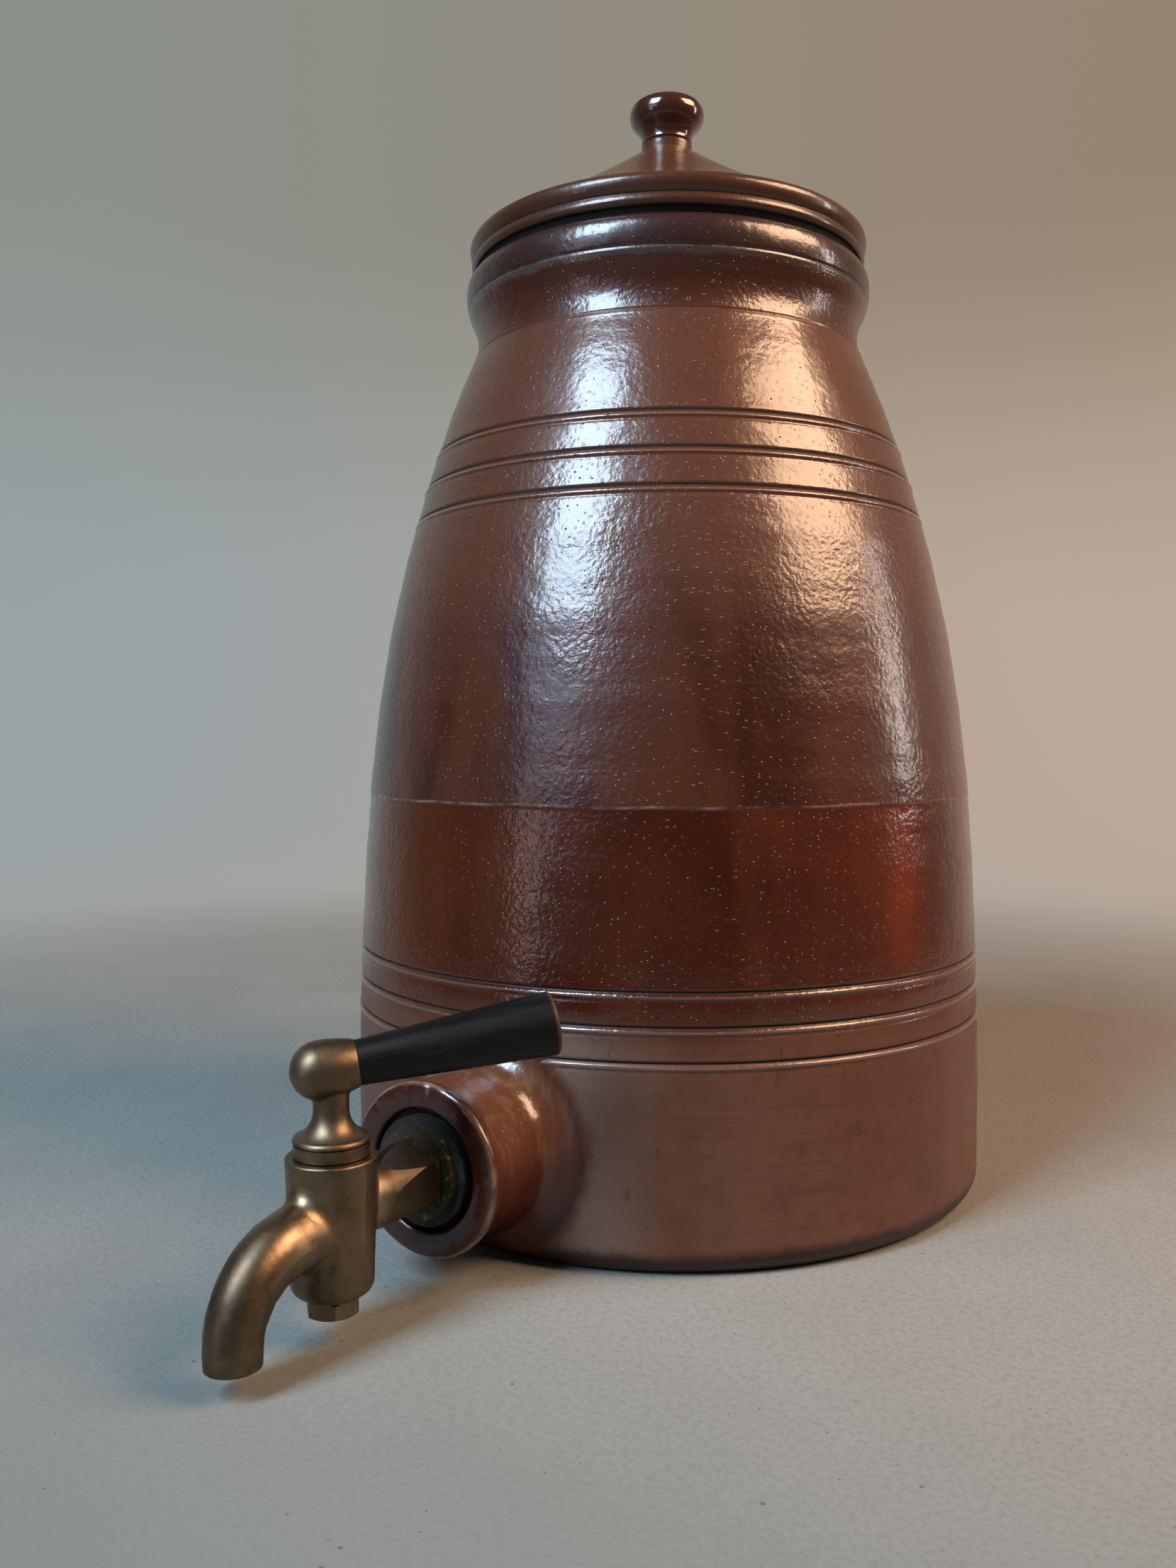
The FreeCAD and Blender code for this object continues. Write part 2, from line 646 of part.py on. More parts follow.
def nut(doc, name, flats, bore, thickness, chamfer, **place):
    """A hexagon nut that lies on its own XY plane, with the corners turned off at its far end."""
    body = add_body(doc, name, **place)
    shape = add_sketch(body, f"{name}_outline", "XY_Plane")
    draw_hexagon(shape, flats)
    draw_circle(shape, bore)
    push(body, "Pad", f"{name}_hexagon", shape, thickness)
    shape = add_sketch(body, f"{name}_chamfer_outline", "XZ_Plane")
    corner = f"{flats} / sqrt(3)"
    draw(shape, [(f"{corner} - {chamfer} * sqrt(3)", thickness),
                 (f"{corner} + {chamfer} * sqrt(3)", f"{thickness} - 2 * {chamfer}"),
                 (f"{corner} + {chamfer} * sqrt(3)", thickness)])
    turn(body, "Groove", f"{name}_chamfer", shape)
    return body


def key_washer(doc):
    return ring(doc, "key_washer", "key_washer_radius", "stub_radius + thread_clearance",
                "key_washer_thickness", ahead=BARREL_Y, turn="handle_azimuth",
                up="tap_height - barrel_drop - washer_gap - key_washer_thickness")


def key_nut(doc):
    return nut(doc, "key_nut", "key_nut_flats", "stub_radius + thread_clearance",
               "key_nut_thickness", "key_nut_chamfer", ahead=BARREL_Y, turn="handle_azimuth",
               roll=f"2 * {QUARTER_TURN}",
               up="tap_height - barrel_drop - washer_gap - key_washer_thickness")


def outer_gasket(doc):
    return ring(doc, "outer_gasket", "outer_gasket_radius", "tail_radius + tail_clearance",
                "outer_gasket_thickness", ahead=GASKET_SEAT, up="tap_height", roll=QUARTER_TURN)


def inner_gasket(doc):
    return ring(doc, "inner_gasket", "inner_gasket_radius", "tail_radius + tail_clearance",
                "inner_gasket_thickness", ahead=WASHER_SEAT, up="tap_height", roll=QUARTER_TURN)


def inner_washer(doc):
    return ring(doc, "inner_washer", "inner_washer_radius", "tail_radius + tail_clearance",
                "inner_washer_thickness", ahead=NUT_SEAT, up="tap_height", roll=QUARTER_TURN)


def back_nut(doc):
    return nut(doc, "back_nut", "back_nut_flats", "tail_radius + thread_clearance",
               "back_nut_thickness", "back_nut_chamfer", ahead=NUT_SEAT, up="tap_height",
               roll=f"-1 * {QUARTER_TURN}")


def handle_part(doc, name, corners):
    """A turned piece on the handle's tilted axis, which leaves the middle of the key's ball."""
    body = add_body(doc, name, ahead=BARREL_Y, up="tap_height", turn="handle_azimuth")
    shape = add_sketch(body, f"{name}_outline", "XZ_Plane", up="ball_height", tilt="handle_tilt")
    draw(shape, corners)
    turn(body, "Revolution", f"{name}_turning", shape, "H_Axis")
    return body


def handle_grip(doc):
    hole = "rod_radius + rod_clearance"
    hole_end = "socket_face + rod_in_grip + rod_clearance"
    tip = "socket_face + grip_length"
    return handle_part(doc, "handle_grip", [
        (hole_end, "0"),
        (tip, "0"),
        (tip, "grip_tip_radius - grip_edge"),
        (f"{tip} - grip_edge", "grip_tip_radius", "grip_edge"),
        ("socket_face", "grip_root_radius"),
        ("socket_face", hole),
        (hole_end, hole),
    ])


def handle_rod(doc):
    near = "socket_face - rod_in_ball + rod_clearance"
    far = "socket_face + rod_in_grip"
    return handle_part(doc, "handle_rod",
                       [(near, "0"), (far, "0"), (far, "rod_radius"), (near, "rod_radius")])


def check(doc):
    for part in doc.Objects:
        if "Invalid" in part.State or "Error" in part.State:
            raise RuntimeError(f"{part.Name} did not compute: {part.State}")


def main():
    doc = FreeCAD.newDocument("WaterPot")
    add_sheet(doc)
    makers = (jar, lid, tap_body, tap_key, key_washer, key_nut, handle_grip, handle_rod,
              outer_gasket, inner_gasket, inner_washer, back_nut)
    parts = [maker(doc) for maker in makers]
    doc.recompute()
    check(doc)
    for part in parts:
        if part.Shape.isNull() or not part.Shape.isValid() or len(part.Shape.Solids) != 1:
            raise RuntimeError(f"{part.Label} is not one valid solid")
    os.makedirs("parts", exist_ok=True)
    for part in parts:
        part.Shape.exportStep(f"parts/{part.Label}.step")
        box = part.Shape.BoundBox
        print(f"{part.Label}: {part.Shape.Volume:.1f} mm3, z {box.ZMin:.1f} to {box.ZMax:.1f}")


main()
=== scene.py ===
import math
from types import SimpleNamespace

import bpy
from mathutils import Euler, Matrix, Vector, noise


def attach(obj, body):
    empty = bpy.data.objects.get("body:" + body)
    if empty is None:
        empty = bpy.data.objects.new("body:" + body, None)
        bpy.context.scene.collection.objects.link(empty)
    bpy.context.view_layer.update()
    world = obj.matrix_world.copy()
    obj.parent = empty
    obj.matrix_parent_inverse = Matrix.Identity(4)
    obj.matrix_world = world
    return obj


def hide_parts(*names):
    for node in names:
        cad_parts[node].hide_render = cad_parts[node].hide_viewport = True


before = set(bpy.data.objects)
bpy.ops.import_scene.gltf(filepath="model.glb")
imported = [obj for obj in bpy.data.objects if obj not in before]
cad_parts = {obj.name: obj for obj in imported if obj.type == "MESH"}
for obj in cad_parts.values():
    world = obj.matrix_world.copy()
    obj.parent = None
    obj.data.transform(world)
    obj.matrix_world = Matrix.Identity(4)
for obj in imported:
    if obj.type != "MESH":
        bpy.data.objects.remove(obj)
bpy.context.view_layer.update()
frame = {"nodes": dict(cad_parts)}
nodes = frame["nodes"]
mm = 0.001
print("frame loaded:", ", ".join(nodes))


# small helpers

def colour(hexText):
    parts = [int(hexText[place:place + 2], 16) / 255 for place in (0, 2, 4)]
    linear = [part / 12.92 if part <= 0.04045 else ((part + 0.055) / 1.055) ** 2.4 for part in parts]
    return (*linear, 1)


def smoothStep(value, low, high):
    share = min(max((value - low) / (high - low), 0), 1)
    return share * share * (3 - 2 * share)


def bell(distance, width):
    return math.exp(-(distance / width) ** 2)


def onlyObject(piece):
    bpy.ops.object.select_all(action="DESELECT")
    piece.select_set(True)
    bpy.context.view_layer.objects.active = piece


def editing(on):
    # into edit mode, or out of it
    bpy.ops.object.mode_set(mode="EDIT" if on else "OBJECT")


def selectMesh(on):
    bpy.ops.mesh.select_all(action="SELECT" if on else "DESELECT")


def settle(piece):
    # the piece's place goes into its mesh
    onlyObject(piece)
    bpy.ops.object.transform_apply(location=True, rotation=True, scale=True)


def turnProfile(name, profile, steps):
    # one corner is drawn along the profile in the XZ plane, then spun round the pot's axis
    bpy.ops.object.select_all(action="DESELECT")
    bpy.ops.mesh.primitive_plane_add(size=mm, location=(profile[0][0], 0, profile[0][1]))
    piece = bpy.context.object
    piece.name = name
    editing(True)
    bpy.ops.mesh.select_mode(type="VERT")
    selectMesh(True)
    bpy.ops.mesh.merge(type="CENTER")
    here = profile[0]
    for corner in profile[1:]:
        step = (corner[0] - here[0], 0, corner[1] - here[1])
        bpy.ops.mesh.extrude_vertices_move(TRANSFORM_OT_translate={"value": step})
        here = corner
    selectMesh(True)
    bpy.ops.mesh.spin(steps=steps, angle=math.tau, center=(0, 0, 0), axis=(0, 0, 1))
    selectMesh(True)
    bpy.ops.mesh.remove_doubles(threshold=0.01 * mm)
    bpy.ops.mesh.normals_make_consistent(inside=False)
    editing(False)
    settle(piece)
    bpy.ops.object.shade_smooth()
    return piece


def arcPoints(centre, radius, start, end, count):
    # points along an arc, from one angle in degrees to the other, without the first
    turns = [math.radians(start + (end - start) * step / count) for step in range(1, count + 1)]
    return [(centre[0] + radius * math.cos(turn), centre[1] + radius * math.sin(turn)) for turn in turns]


def ridingPiece(piece, body, node):
    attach(piece, body)
    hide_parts(node)


# camera

cameraView = {
    "place": (211.1 * mm, -378.9 * mm, 141.6 * mm),
    "heading": 32.5,
    "down": 2.3,
    "lens": 30.1,
    "sensor": 36,
    "clip": 10 * mm,
}

bpy.ops.object.camera_add(location=cameraView["place"])
camera = bpy.context.object
camera.rotation_euler = (math.radians(90 - cameraView["down"]), 0, math.radians(cameraView["heading"]))
camera.data.lens = cameraView["lens"]
camera.data.sensor_width = cameraView["sensor"]
camera.data.clip_start = cameraView["clip"]
bpy.context.scene.camera = camera


# jar

jarSizes = {
    "baseRadius": 100 * mm,
    "baseRound": 6.5 * mm,
    "bellyHeight": 27 * mm,
    "bellyCurve": 1105 * mm,
    "shoulderHeight": 135 * mm,
    "shoulderCurve": 416 * mm,
    "neckHeight": 260 * mm,
    "coveHeight": 11.5 * mm,
    "coveCurve": 15 * mm,
    "collarStand": 2.4 * mm,
    "collarSwell": 9.2 * mm,
    "collarRoll": 5.5 * mm,
    "rollWidth": 3.2 * mm,
    "lipRound": 4.2 * mm,
    "wall": 9 * mm,
    "floor": 12 * mm,
    "floorCorner": 6 * mm,
    "upperRings": 207.5 * mm,
    "upperPitch": 10.7 * mm,
    "lowerRings": 56.1 * mm,
    "lowerPitch": 9.1 * mm,
    "ringCount": 3,
    "collarLine": 276.7 * mm,
    "glazeSeam": 121.5 * mm,
    "wideRow": 2.4 * mm,
    "collarRow": 0.9 * mm,
    "fineRow": 0.32 * mm,
    "innerRow": 6 * mm,
    "steps": 256,
}

jar = jarSizes
bellyX = jar["baseRadius"] - jar["bellyCurve"]
turnSine = (jar["shoulderHeight"] - jar["bellyHeight"]) / jar["bellyCurve"]
turnCosine = math.sqrt(1 - turnSine ** 2)
shoulderX = bellyX + (jar["bellyCurve"] - jar["shoulderCurve"]) * turnCosine
shoulderZ = jar["bellyHeight"] + (jar["bellyCurve"] - jar["shoulderCurve"]) * turnSine
neckRadius = shoulderX + math.sqrt(jar["shoulderCurve"] ** 2 - (jar["neckHeight"] - shoulderZ) ** 2)
collarRadius = neckRadius + jar["collarStand"]
collarFoot = jar["neckHeight"] + jar["coveHeight"]
collarMiddle = collarFoot + jar["collarSwell"]
lipTop = collarMiddle + jar["collarRoll"]
mouthRadius = neckRadius - jar["wall"]
ringHeights = [jar[start] + ring * jar[pitch] for ring in range(jar["ringCount"])
               for start, pitch in (("upperRings", "upperPitch"), ("lowerRings", "lowerPitch"))]


def plainRadius(height, inset=0.0):
    # the wall's radius at a height, up to the neck; an inset gives the wall's inner side
    if height < jar["bellyHeight"]:
        return jar["baseRadius"] - inset
    if height < jar["shoulderHeight"] - inset * turnSine:
        return bellyX + math.sqrt((jar["bellyCurve"] - inset) ** 2 - (height - jar["bellyHeight"]) ** 2)
    return shoulderX + math.sqrt((jar["shoulderCurve"] - inset) ** 2 - (height - shoulderZ) ** 2)


# (height, how far below the mark's line it lies, width) of each groove, below 0, and rib, above 0
reliefSizes = {
    "ring": (
        (-0.66 * mm, 0, 0.42 * mm),
        (0.36 * mm, 1.2 * mm, 0.6 * mm),
        (-0.2 * mm, 2.35 * mm, 0.4 * mm),
    ),
    "line": (
        (-0.4 * mm, 0, 0.33 * mm),
        (0.08 * mm, 0.9 * mm, 0.5 * mm),
    ),
    "fullGroove": 0.62 * mm,
    "fullRib": 0.36 * mm,
    "ripples": ((11.3 * mm, 0.045 * mm), (6.7 * mm, 0.03 * mm), (23.9 * mm, 0.06 * mm)),
    "rippleEnd": (255 * mm, 262 * mm),
}


def markShape(mark, above):
    return sum(height * bell(above + below, width) for height, below, width in reliefSizes[mark])


def reliefAt(height):
    # a ring is a sharp groove with a rolled rib below it and a fainter line under the rib
    rings = sum(markShape("ring", height - ring) for ring in ringHeights)
    return rings + sum(markShape("line", height - line) for line in (jar["neckHeight"], jar["collarLine"]))


def throwingRipple(height):
    # what the potter's fingers left, in three wavelengths
    return sum(depth * math.sin(math.tau * height / length) for length, depth in reliefSizes["ripples"])


def outerRadius(height):
    if height < jar["baseRound"]:
        low = jar["baseRound"] - height
        return jar["baseRadius"] - jar["baseRound"] + math.sqrt(jar["baseRound"] ** 2 - low ** 2)
    if height <= jar["neckHeight"]:
        radius = plainRadius(height)
    elif height <= collarFoot:
        middle = jar["neckHeight"] + jar["coveHeight"] / 2
        centre = neckRadius + math.sqrt(jar["coveCurve"] ** 2 - (jar["coveHeight"] / 2) ** 2)
        radius = centre - math.sqrt(jar["coveCurve"] ** 2 - (height - middle) ** 2)
    else:
        swell = (jar["collarStand"] ** 2 + jar["collarSwell"] ** 2) / (2 * jar["collarStand"])
        radius = collarRadius - swell + math.sqrt(swell ** 2 - (height - collarMiddle) ** 2)
    fade = smoothStep(height, jar["baseRound"], jar["bellyHeight"])
    fade *= 1 - smoothStep(height, *reliefSizes["rippleEnd"])
    return radius + reliefAt(height) + throwingRipple(height) * fade


def jarHeights():
    # rows are close at the rings, lines and glaze seam, and wide between them
    fine = [(ring - 3.2 * mm, ring + 1.2 * mm) for ring in ringHeights]
    fine += [(line - 1.8 * mm, line + 1 * mm) for line in (jar["neckHeight"], jar["collarLine"])]
    fine += [(jar["glazeSeam"] - 3 * mm, jar["glazeSeam"] + 3 * mm)]
    height, heights = jar["baseRound"], []
    while height < collarMiddle:
        heights.append(height)
        close = any(low < height < high for low, high in fine)
        wide = jar["wideRow"] if height < jar["neckHeight"] else jar["collarRow"]
        height += jar["fineRow"] if close else wide
        for low, high in fine:
            if heights[-1] < low < height:
                height = low + 0.01 * mm
    return heights


def jarProfile():
    jarBase = jar["baseRadius"] - jar["baseRound"]
    profile = [(0, 0), (jarBase / 3, 0), (jarBase * 2 / 3, 0), (jarBase * 0.96, 0), (jarBase, 0)]
    profile += arcPoints((jarBase, jar["baseRound"]), jar["baseRound"], -90, 0, 8)[:-1]
    profile += [(outerRadius(height), height) for height in jarHeights()]
    roll, lip = jar["collarRoll"], jar["lipRound"]
    flatter = jar["rollWidth"] / roll
    rolled = arcPoints((-roll, 0), roll, 0, 90, 10)
    profile += [(outerRadius(collarMiddle), collarMiddle)]
    profile += [(collarRadius + flatter * x, collarMiddle + z) for x, z in rolled]
    profile += [(mouthRadius + lip, lipTop)]
    profile += arcPoints((mouthRadius + lip, lipTop - lip), lip, 90, 180, 6)
    inner = jar["neckHeight"] - 4 * mm
    while inner > jar["floor"] + jar["floorCorner"] + mm:
        profile.append((plainRadius(inner, jar["wall"]), inner))
        inner -= jar["innerRow"]
    corner = jar["baseRadius"] - jar["wall"] - jar["floorCorner"]
    profile += arcPoints((corner, jar["floor"] + jar["floorCorner"]), jar["floorCorner"], 0, -90, 5)
    return profile + [(corner * share, jar["floor"]) for share in (0.66, 0.33, 0)]


bossSizes = {
    "height": 30.7 * mm,
    "face": 125.6 * mm,
    "radius": 22.5 * mm,
    "edge": 1.5 * mm,
    "rim": 7 * mm,
    "waist": 1.2 * mm,
    "blend": 7 * mm,
    "recess": 15.6 * mm,
    "recessDepth": 3 * mm,
    "bore": 9.4 * mm,
    "spotFace": 14 * mm,
    "spotDepth": 0.5 * mm,
    "lip": 0.5 * mm,
    "faceRing": 3 * mm,
    "innerLap": 3 * mm,
    "outerLap": 0.4 * mm,
    "innerCut": 6.8 * mm,
    "outerCut": 3.1 * mm,
    "lowest": 1.2 * mm,
    "steps": 176,
}


def wallDepth(across, height, inner):
    # how far the wall lies in front of the axis at a place on it
    if inner:
        radius = plainRadius(height, jar["wall"])
    elif height < jar["baseRound"]:
        radius = outerRadius(max(height, 0))
    else:
        radius = plainRadius(height)
    return math.sqrt(radius ** 2 - across ** 2)


def bossRings():
    # (radius, distance from the axis), or (radius, lift, wall side) where a ring follows the wall
    boss = bossSizes
    innerFace = jar["baseRadius"] - jar["wall"] + boss["spotDepth"]
    recessFloor = boss["face"] - boss["recessDepth"]
    waist = boss["radius"] - boss["waist"]
    lip = boss["lip"]
    rings = [(boss["spotFace"] + boss["innerLap"], 0, "inner"), (boss["spotFace"], 0, "inner")]
    rings += [(boss["spotFace"], innerFace)]
    rings += [(boss["bore"] + lip, innerFace), (boss["bore"], innerFace + lip)]
    rings += [(boss["bore"], recessFloor - lip), (boss["bore"] + lip, recessFloor)]
    rings += [(boss["recess"] - lip, recessFloor), (boss["recess"], recessFloor + lip)]
    rings += [(boss["recess"], boss["face"] - 2 * lip)]
    rings += [(boss["recess"] + x, boss["face"] + y - 2 * lip)
              for x, y in arcPoints((2 * lip, 0), 2 * lip, 180, 90, 3)]
    rings += [(boss["recess"] + boss["faceRing"], boss["face"])]
    edge = boss["radius"] - boss["edge"]
    rings += arcPoints((edge, boss["face"] - boss["edge"]), boss["edge"], 90, 0, 6)
    for step in range(1, 5):
        share = step / 4
        rings.append((boss["radius"] - boss["waist"] * smoothStep(share, 0, 1),
                      boss["face"] - boss["edge"] - boss["rim"] * share))
    straight = boss["face"] - boss["edge"] - boss["rim"]
    lowest = jar["baseRadius"] + boss["blend"]
    rings += [(waist, straight + (lowest - straight) * step / 4) for step in range(1, 4)]
    for turn in range(0, 91, 10):
        reach = boss["blend"] * (1 - math.cos(math.radians(turn)))
        lift = boss["blend"] * (1 - math.sin(math.radians(turn)))
        rings.append((waist + reach, lift, "outer"))
    return rings + [(waist + boss["blend"] + boss["outerLap"], 0, "outer")]


def addBoss():
    # a ring is grown outwards from the hole's inner side, over the face and back to the wall
    boss = bossSizes
    rings = bossRings()
    place = (0, -jar["baseRadius"], boss["height"])
    bpy.ops.object.select_all(action="DESELECT")
    bpy.ops.mesh.primitive_circle_add(vertices=boss["steps"], radius=rings[0][0], location=place,
                                      rotation=(math.pi / 2, 0, 0))
    piece = bpy.context.object
    piece.name = "boss"
    bpy.ops.object.transform_apply(location=True, rotation=True, scale=True)
    editing(True)
    selectMesh(True)
    for before, after in zip(rings, rings[1:]):
        bpy.ops.mesh.extrude_edges_move(TRANSFORM_OT_translate={"value": (0, 0, 0)})
        grow = after[0] / before[0]
        bpy.ops.transform.resize(value=(grow, 1, grow), center_override=place)
    editing(False)
    for point in piece.data.vertices:
        ring = rings[point.index // boss["steps"]]
        if len(ring) == 2:
            point.co.y = -ring[1]
        else:
            point.co.z = max(point.co.z, boss["lowest"])
            point.co.y = -wallDepth(point.co.x, point.co.z, ring[2] == "inner") - ring[1]
    return piece


def fromBossAxis(place):
    return math.hypot(place.x, place.z - bossSizes["height"])


def onOuterSide(place):
    return math.hypot(place.x, place.y) > jar["baseRadius"] - jar["wall"] / 2


def cutWall(piece):
    # faces that the boss covers are deleted, outside and inside
    boss = bossSizes
    outerReach = boss["radius"] - boss["waist"] + boss["blend"] + boss["outerCut"]
    innerReach = boss["spotFace"] + boss["innerCut"]
    onlyObject(piece)
    editing(True)
    selectMesh(False)
    bpy.ops.mesh.select_mode(type="FACE")
    editing(False)
    for face in piece.data.polygons:
        reach = outerReach if onOuterSide(face.center) else innerReach
        near = fromBossAxis(face.center) < reach
        upright = abs(face.normal.z) < 0.99
        face.select = face.center.y < 0 and near and upright
    editing(True)
    bpy.ops.mesh.delete(type="FACE")
    editing(False)


def closeGap(piece, outer):
    # the open edges of the wall and of the boss are bridged, on the wall's outer or inner side
    onlyObject(piece)
    editing(True)
    bpy.ops.mesh.select_mode(type="EDGE")
    selectMesh(False)
    bpy.ops.mesh.select_non_manifold(extend=False, use_wire=False, use_multi_face=False,
                                     use_non_contiguous=False, use_verts=False)
    editing(False)
    points = piece.data.vertices
    for edge in piece.data.edges:
        edge.select = edge.select and onOuterSide(points[edge.vertices[0]].co) == outer
    editing(True)
    bpy.ops.mesh.bridge_edge_loops()
    editing(False)


handSizes = {
    "unevenness": 0.25 * mm,
    "swells": ((46 * mm, 1), (17 * mm, 0.4)),
    "inward": 0.6,
    "margin": 0.04 * mm,
    "lowFade": (1 * mm, 14 * mm),
    "highFade": (262 * mm, 272 * mm),
    "bossFade": (29 * mm, 42 * mm),
    "seamSway": 0.9 * mm,
    "swaySize": 24 * mm,
    "seamStep": 0.16 * mm,
    "seamSoft": 0.35 * mm,
    "seamFade": (2 * mm, 30 * mm),
    "bossLump": 0.14 * mm,
    "bossLumpSize": 9 * mm,
    "chip": 0.45 * mm,
    "chipSize": 3.1 * mm,
    "chipShare": (0.22, 0.5),
    "chipWidth": 1.6 * mm,
    "chipReach": 2.2 * mm,
    "wornInset": 0.3 * mm,
    "wornWidth": 0.45 * mm,
    "wornSetBack": 0.6 * mm,
    "wornDepth": 0.8 * mm,
    "seed": 5,
}


def middleOf(height):
    return plainRadius(min(height, jar["neckHeight"])) - jar["wall"] / 2


def markRelief(piece):
    # how deep each groove or how high each rib is, for the finish
    marks = piece.data.attributes.new("relief", "FLOAT", "POINT")
    for point in piece.data.vertices:
        if math.hypot(point.co.x, point.co.y) < middleOf(point.co.z) or point.co.z > collarMiddle:
            continue
        relief = reliefAt(point.co.z)
        full = reliefSizes["fullGroove"] if relief < 0 else reliefSizes["fullRib"]
        marks.data[point.index].value = max(relief / full, -1)


def markWornEdge(piece):
    # the boss's outer edge, where the glaze is thin
    boss, hand = bossSizes, handSizes
    marks = piece.data.attributes.new("worn", "FLOAT", "POINT")
    for point in piece.data.vertices:
        if point.co.y < -jar["baseRadius"] - 10 * mm:
            across = fromBossAxis(point.co) - boss["radius"] + hand["wornInset"]
            ahead = -point.co.y - boss["face"] + hand["wornSetBack"]
            worn = bell(across, hand["wornWidth"]) * bell(ahead, hand["wornDepth"])
            marks.data[point.index].value = worn


def wallGrowth(place):
    # the hand's unevenness and the thicker glaze above the seam, as a share of the radius
    hand = handSizes
    around = math.hypot(place.x, place.y)
    swell = sum(share * noise.noise(place / size) for size, share in hand["swells"]) - hand["inward"]
    rise = smoothStep(place.z, *hand["lowFade"]) * (1 - smoothStep(place.z, *hand["highFade"]))
    rise *= smoothStep(fromBossAxis(place), *hand["bossFade"]) if place.y < 0 else 1
    sway = hand["seamSway"] * noise.noise(Vector((place.x, place.y, 0)) / hand["swaySize"])
    above = place.z - jar["glazeSeam"] - sway
    thick = hand["seamStep"] * smoothStep(above, -hand["seamSoft"], hand["seamSoft"])
    thick *= 1 - smoothStep(above, *hand["seamFade"])
    grow = 1 + (hand["unevenness"] * swell * rise + thick) / around
    return min(grow, (jar["baseRadius"] - hand["margin"]) / around)


def chipDepth(place, across):
    # chips are along the boss's outer rim
    hand = handSizes
    rim = bell(across - bossSizes["radius"], hand["chipWidth"])
    rim *= bell(-place.y - bossSizes["face"], hand["chipReach"])
    return hand["chip"] * smoothStep(noise.noise(place / hand["chipSize"]), *hand["chipShare"]) * rim


def roughenJar(piece):
    boss, hand = bossSizes, handSizes
    noise.seed_set(hand["seed"])  # noise_vector gives the same lumps at each run
    for point in piece.data.vertices:
        place = point.co
        across = fromBossAxis(place)
        if math.hypot(place.x, place.y) < middleOf(place.z):
            continue
        if place.y >= 0 or across >= boss["radius"] + boss["blend"]:
            grow = wallGrowth(place)
            place.x *= grow
            place.y *= grow
        elif across > boss["recess"] + mm and place.y < -jar["baseRadius"] - 4 * mm:
            place += noise.noise_vector(place / hand["bossLumpSize"]) * hand["bossLump"]
            place.y += chipDepth(place, across)


def addJar():
    piece = turnProfile("pot", jarProfile(), jar["steps"])
    markRelief(piece)
    cutWall(piece)
    boss = addBoss()
    bpy.ops.object.select_all(action="DESELECT")
    boss.select_set(True)
    piece.select_set(True)
    bpy.context.view_layer.objects.active = piece
    bpy.ops.object.join()
    closeGap(piece, True)
    closeGap(piece, False)
    editing(True)
    selectMesh(True)
    bpy.ops.mesh.normals_make_consistent(inside=False)
    editing(False)
    markWornEdge(piece)
    roughenJar(piece)
    bpy.ops.object.shade_smooth()
    return piece


pot = addJar()
ridingPiece(pot, "pot", "jar")
print("jar made:", len(pot.data.polygons), "faces")


# lid

lidSizes = {
    "gap": 0.1 * mm,
    "clearance": 1.5 * mm,
    "inset": 1.1 * mm,
    "wall": 7 * mm,
    "seatWidth": 8.3 * mm,
    "spigotLength": 12 * mm,
    "spigotThickness": 5.5 * mm,
    "spigotRound": 1.5 * mm,
    "rimUnderside": 1.9 * mm,
    "beadInset": 0.5 * mm,
    "beadRound": 1.8 * mm,
    "rimHeight": 8.7 * mm,
    "rimRoll": 2.8 * mm,
    "rimWaist": 0.9 * mm,
    "coneFoot": 11.1 * mm,
    "coneInset": 4.2 * mm,
    "coneCurve": 480 * mm,
    "coneRise": 30.9 * mm,
    "neckRadius": 8 * mm,
    "neckHeight": 3.6 * mm,
    "waistLine": ((0.1 * mm, 0.7 * mm), (0.45 * mm, 0.3 * mm), (0, -0.2 * mm)),
    "neckLine": ((-0.15 * mm, 1.3 * mm), (0.35 * mm, 0.85 * mm), (-0.1 * mm, 0.3 * mm)),
    "coveWidth": 1.9 * mm,
    "coveHeight": 3.8 * mm,
    "knobRadius": 12 * mm,
    "knobSwell": 4.6 * mm,
    "knobCrown": 4 * mm,
    "domeRadius": 8.3 * mm,
    "domeHeight": 2.1 * mm,
    "row": 0.9 * mm,
    "steps": 224,
    "sharpest": 38,
}


def rounding(across, along):
    # radius of the arc that leaves the upright and moves this far across and along
    return (across ** 2 + along ** 2) / (2 * across)


def traced(corners, row, widestTurn=12):
    # corners of (x, z), or (x, z, radius) where an arc leads there; a positive radius turns left
    points = [corners[0][:2]]
    for corner in corners[1:]:
        start, end = Vector(points[-1]), Vector(corner[:2])
        chord = end - start
        if len(corner) == 2:
            count = max(1, round(chord.length / row))
            points += [tuple(start + chord * step / count) for step in range(1, count + 1)]
            continue
        radius = corner[2]
        left = Vector((-chord.y, chord.x)).normalized()
        height = math.sqrt(max(radius ** 2 - chord.length_squared / 4, 0))
        centre = (start + end) / 2 + left * math.copysign(height, radius)
        first = math.degrees(math.atan2(start.y - centre.y, start.x - centre.x))
        sweep = math.copysign(2 * math.asin(min(chord.length / 2 / abs(radius), 1)), radius)
        count = max(2, round(abs(radius * sweep) / row), round(abs(sweep) / math.radians(widestTurn)))
        points += arcPoints(centre, abs(radius), first, first + math.degrees(sweep), count)
    return points


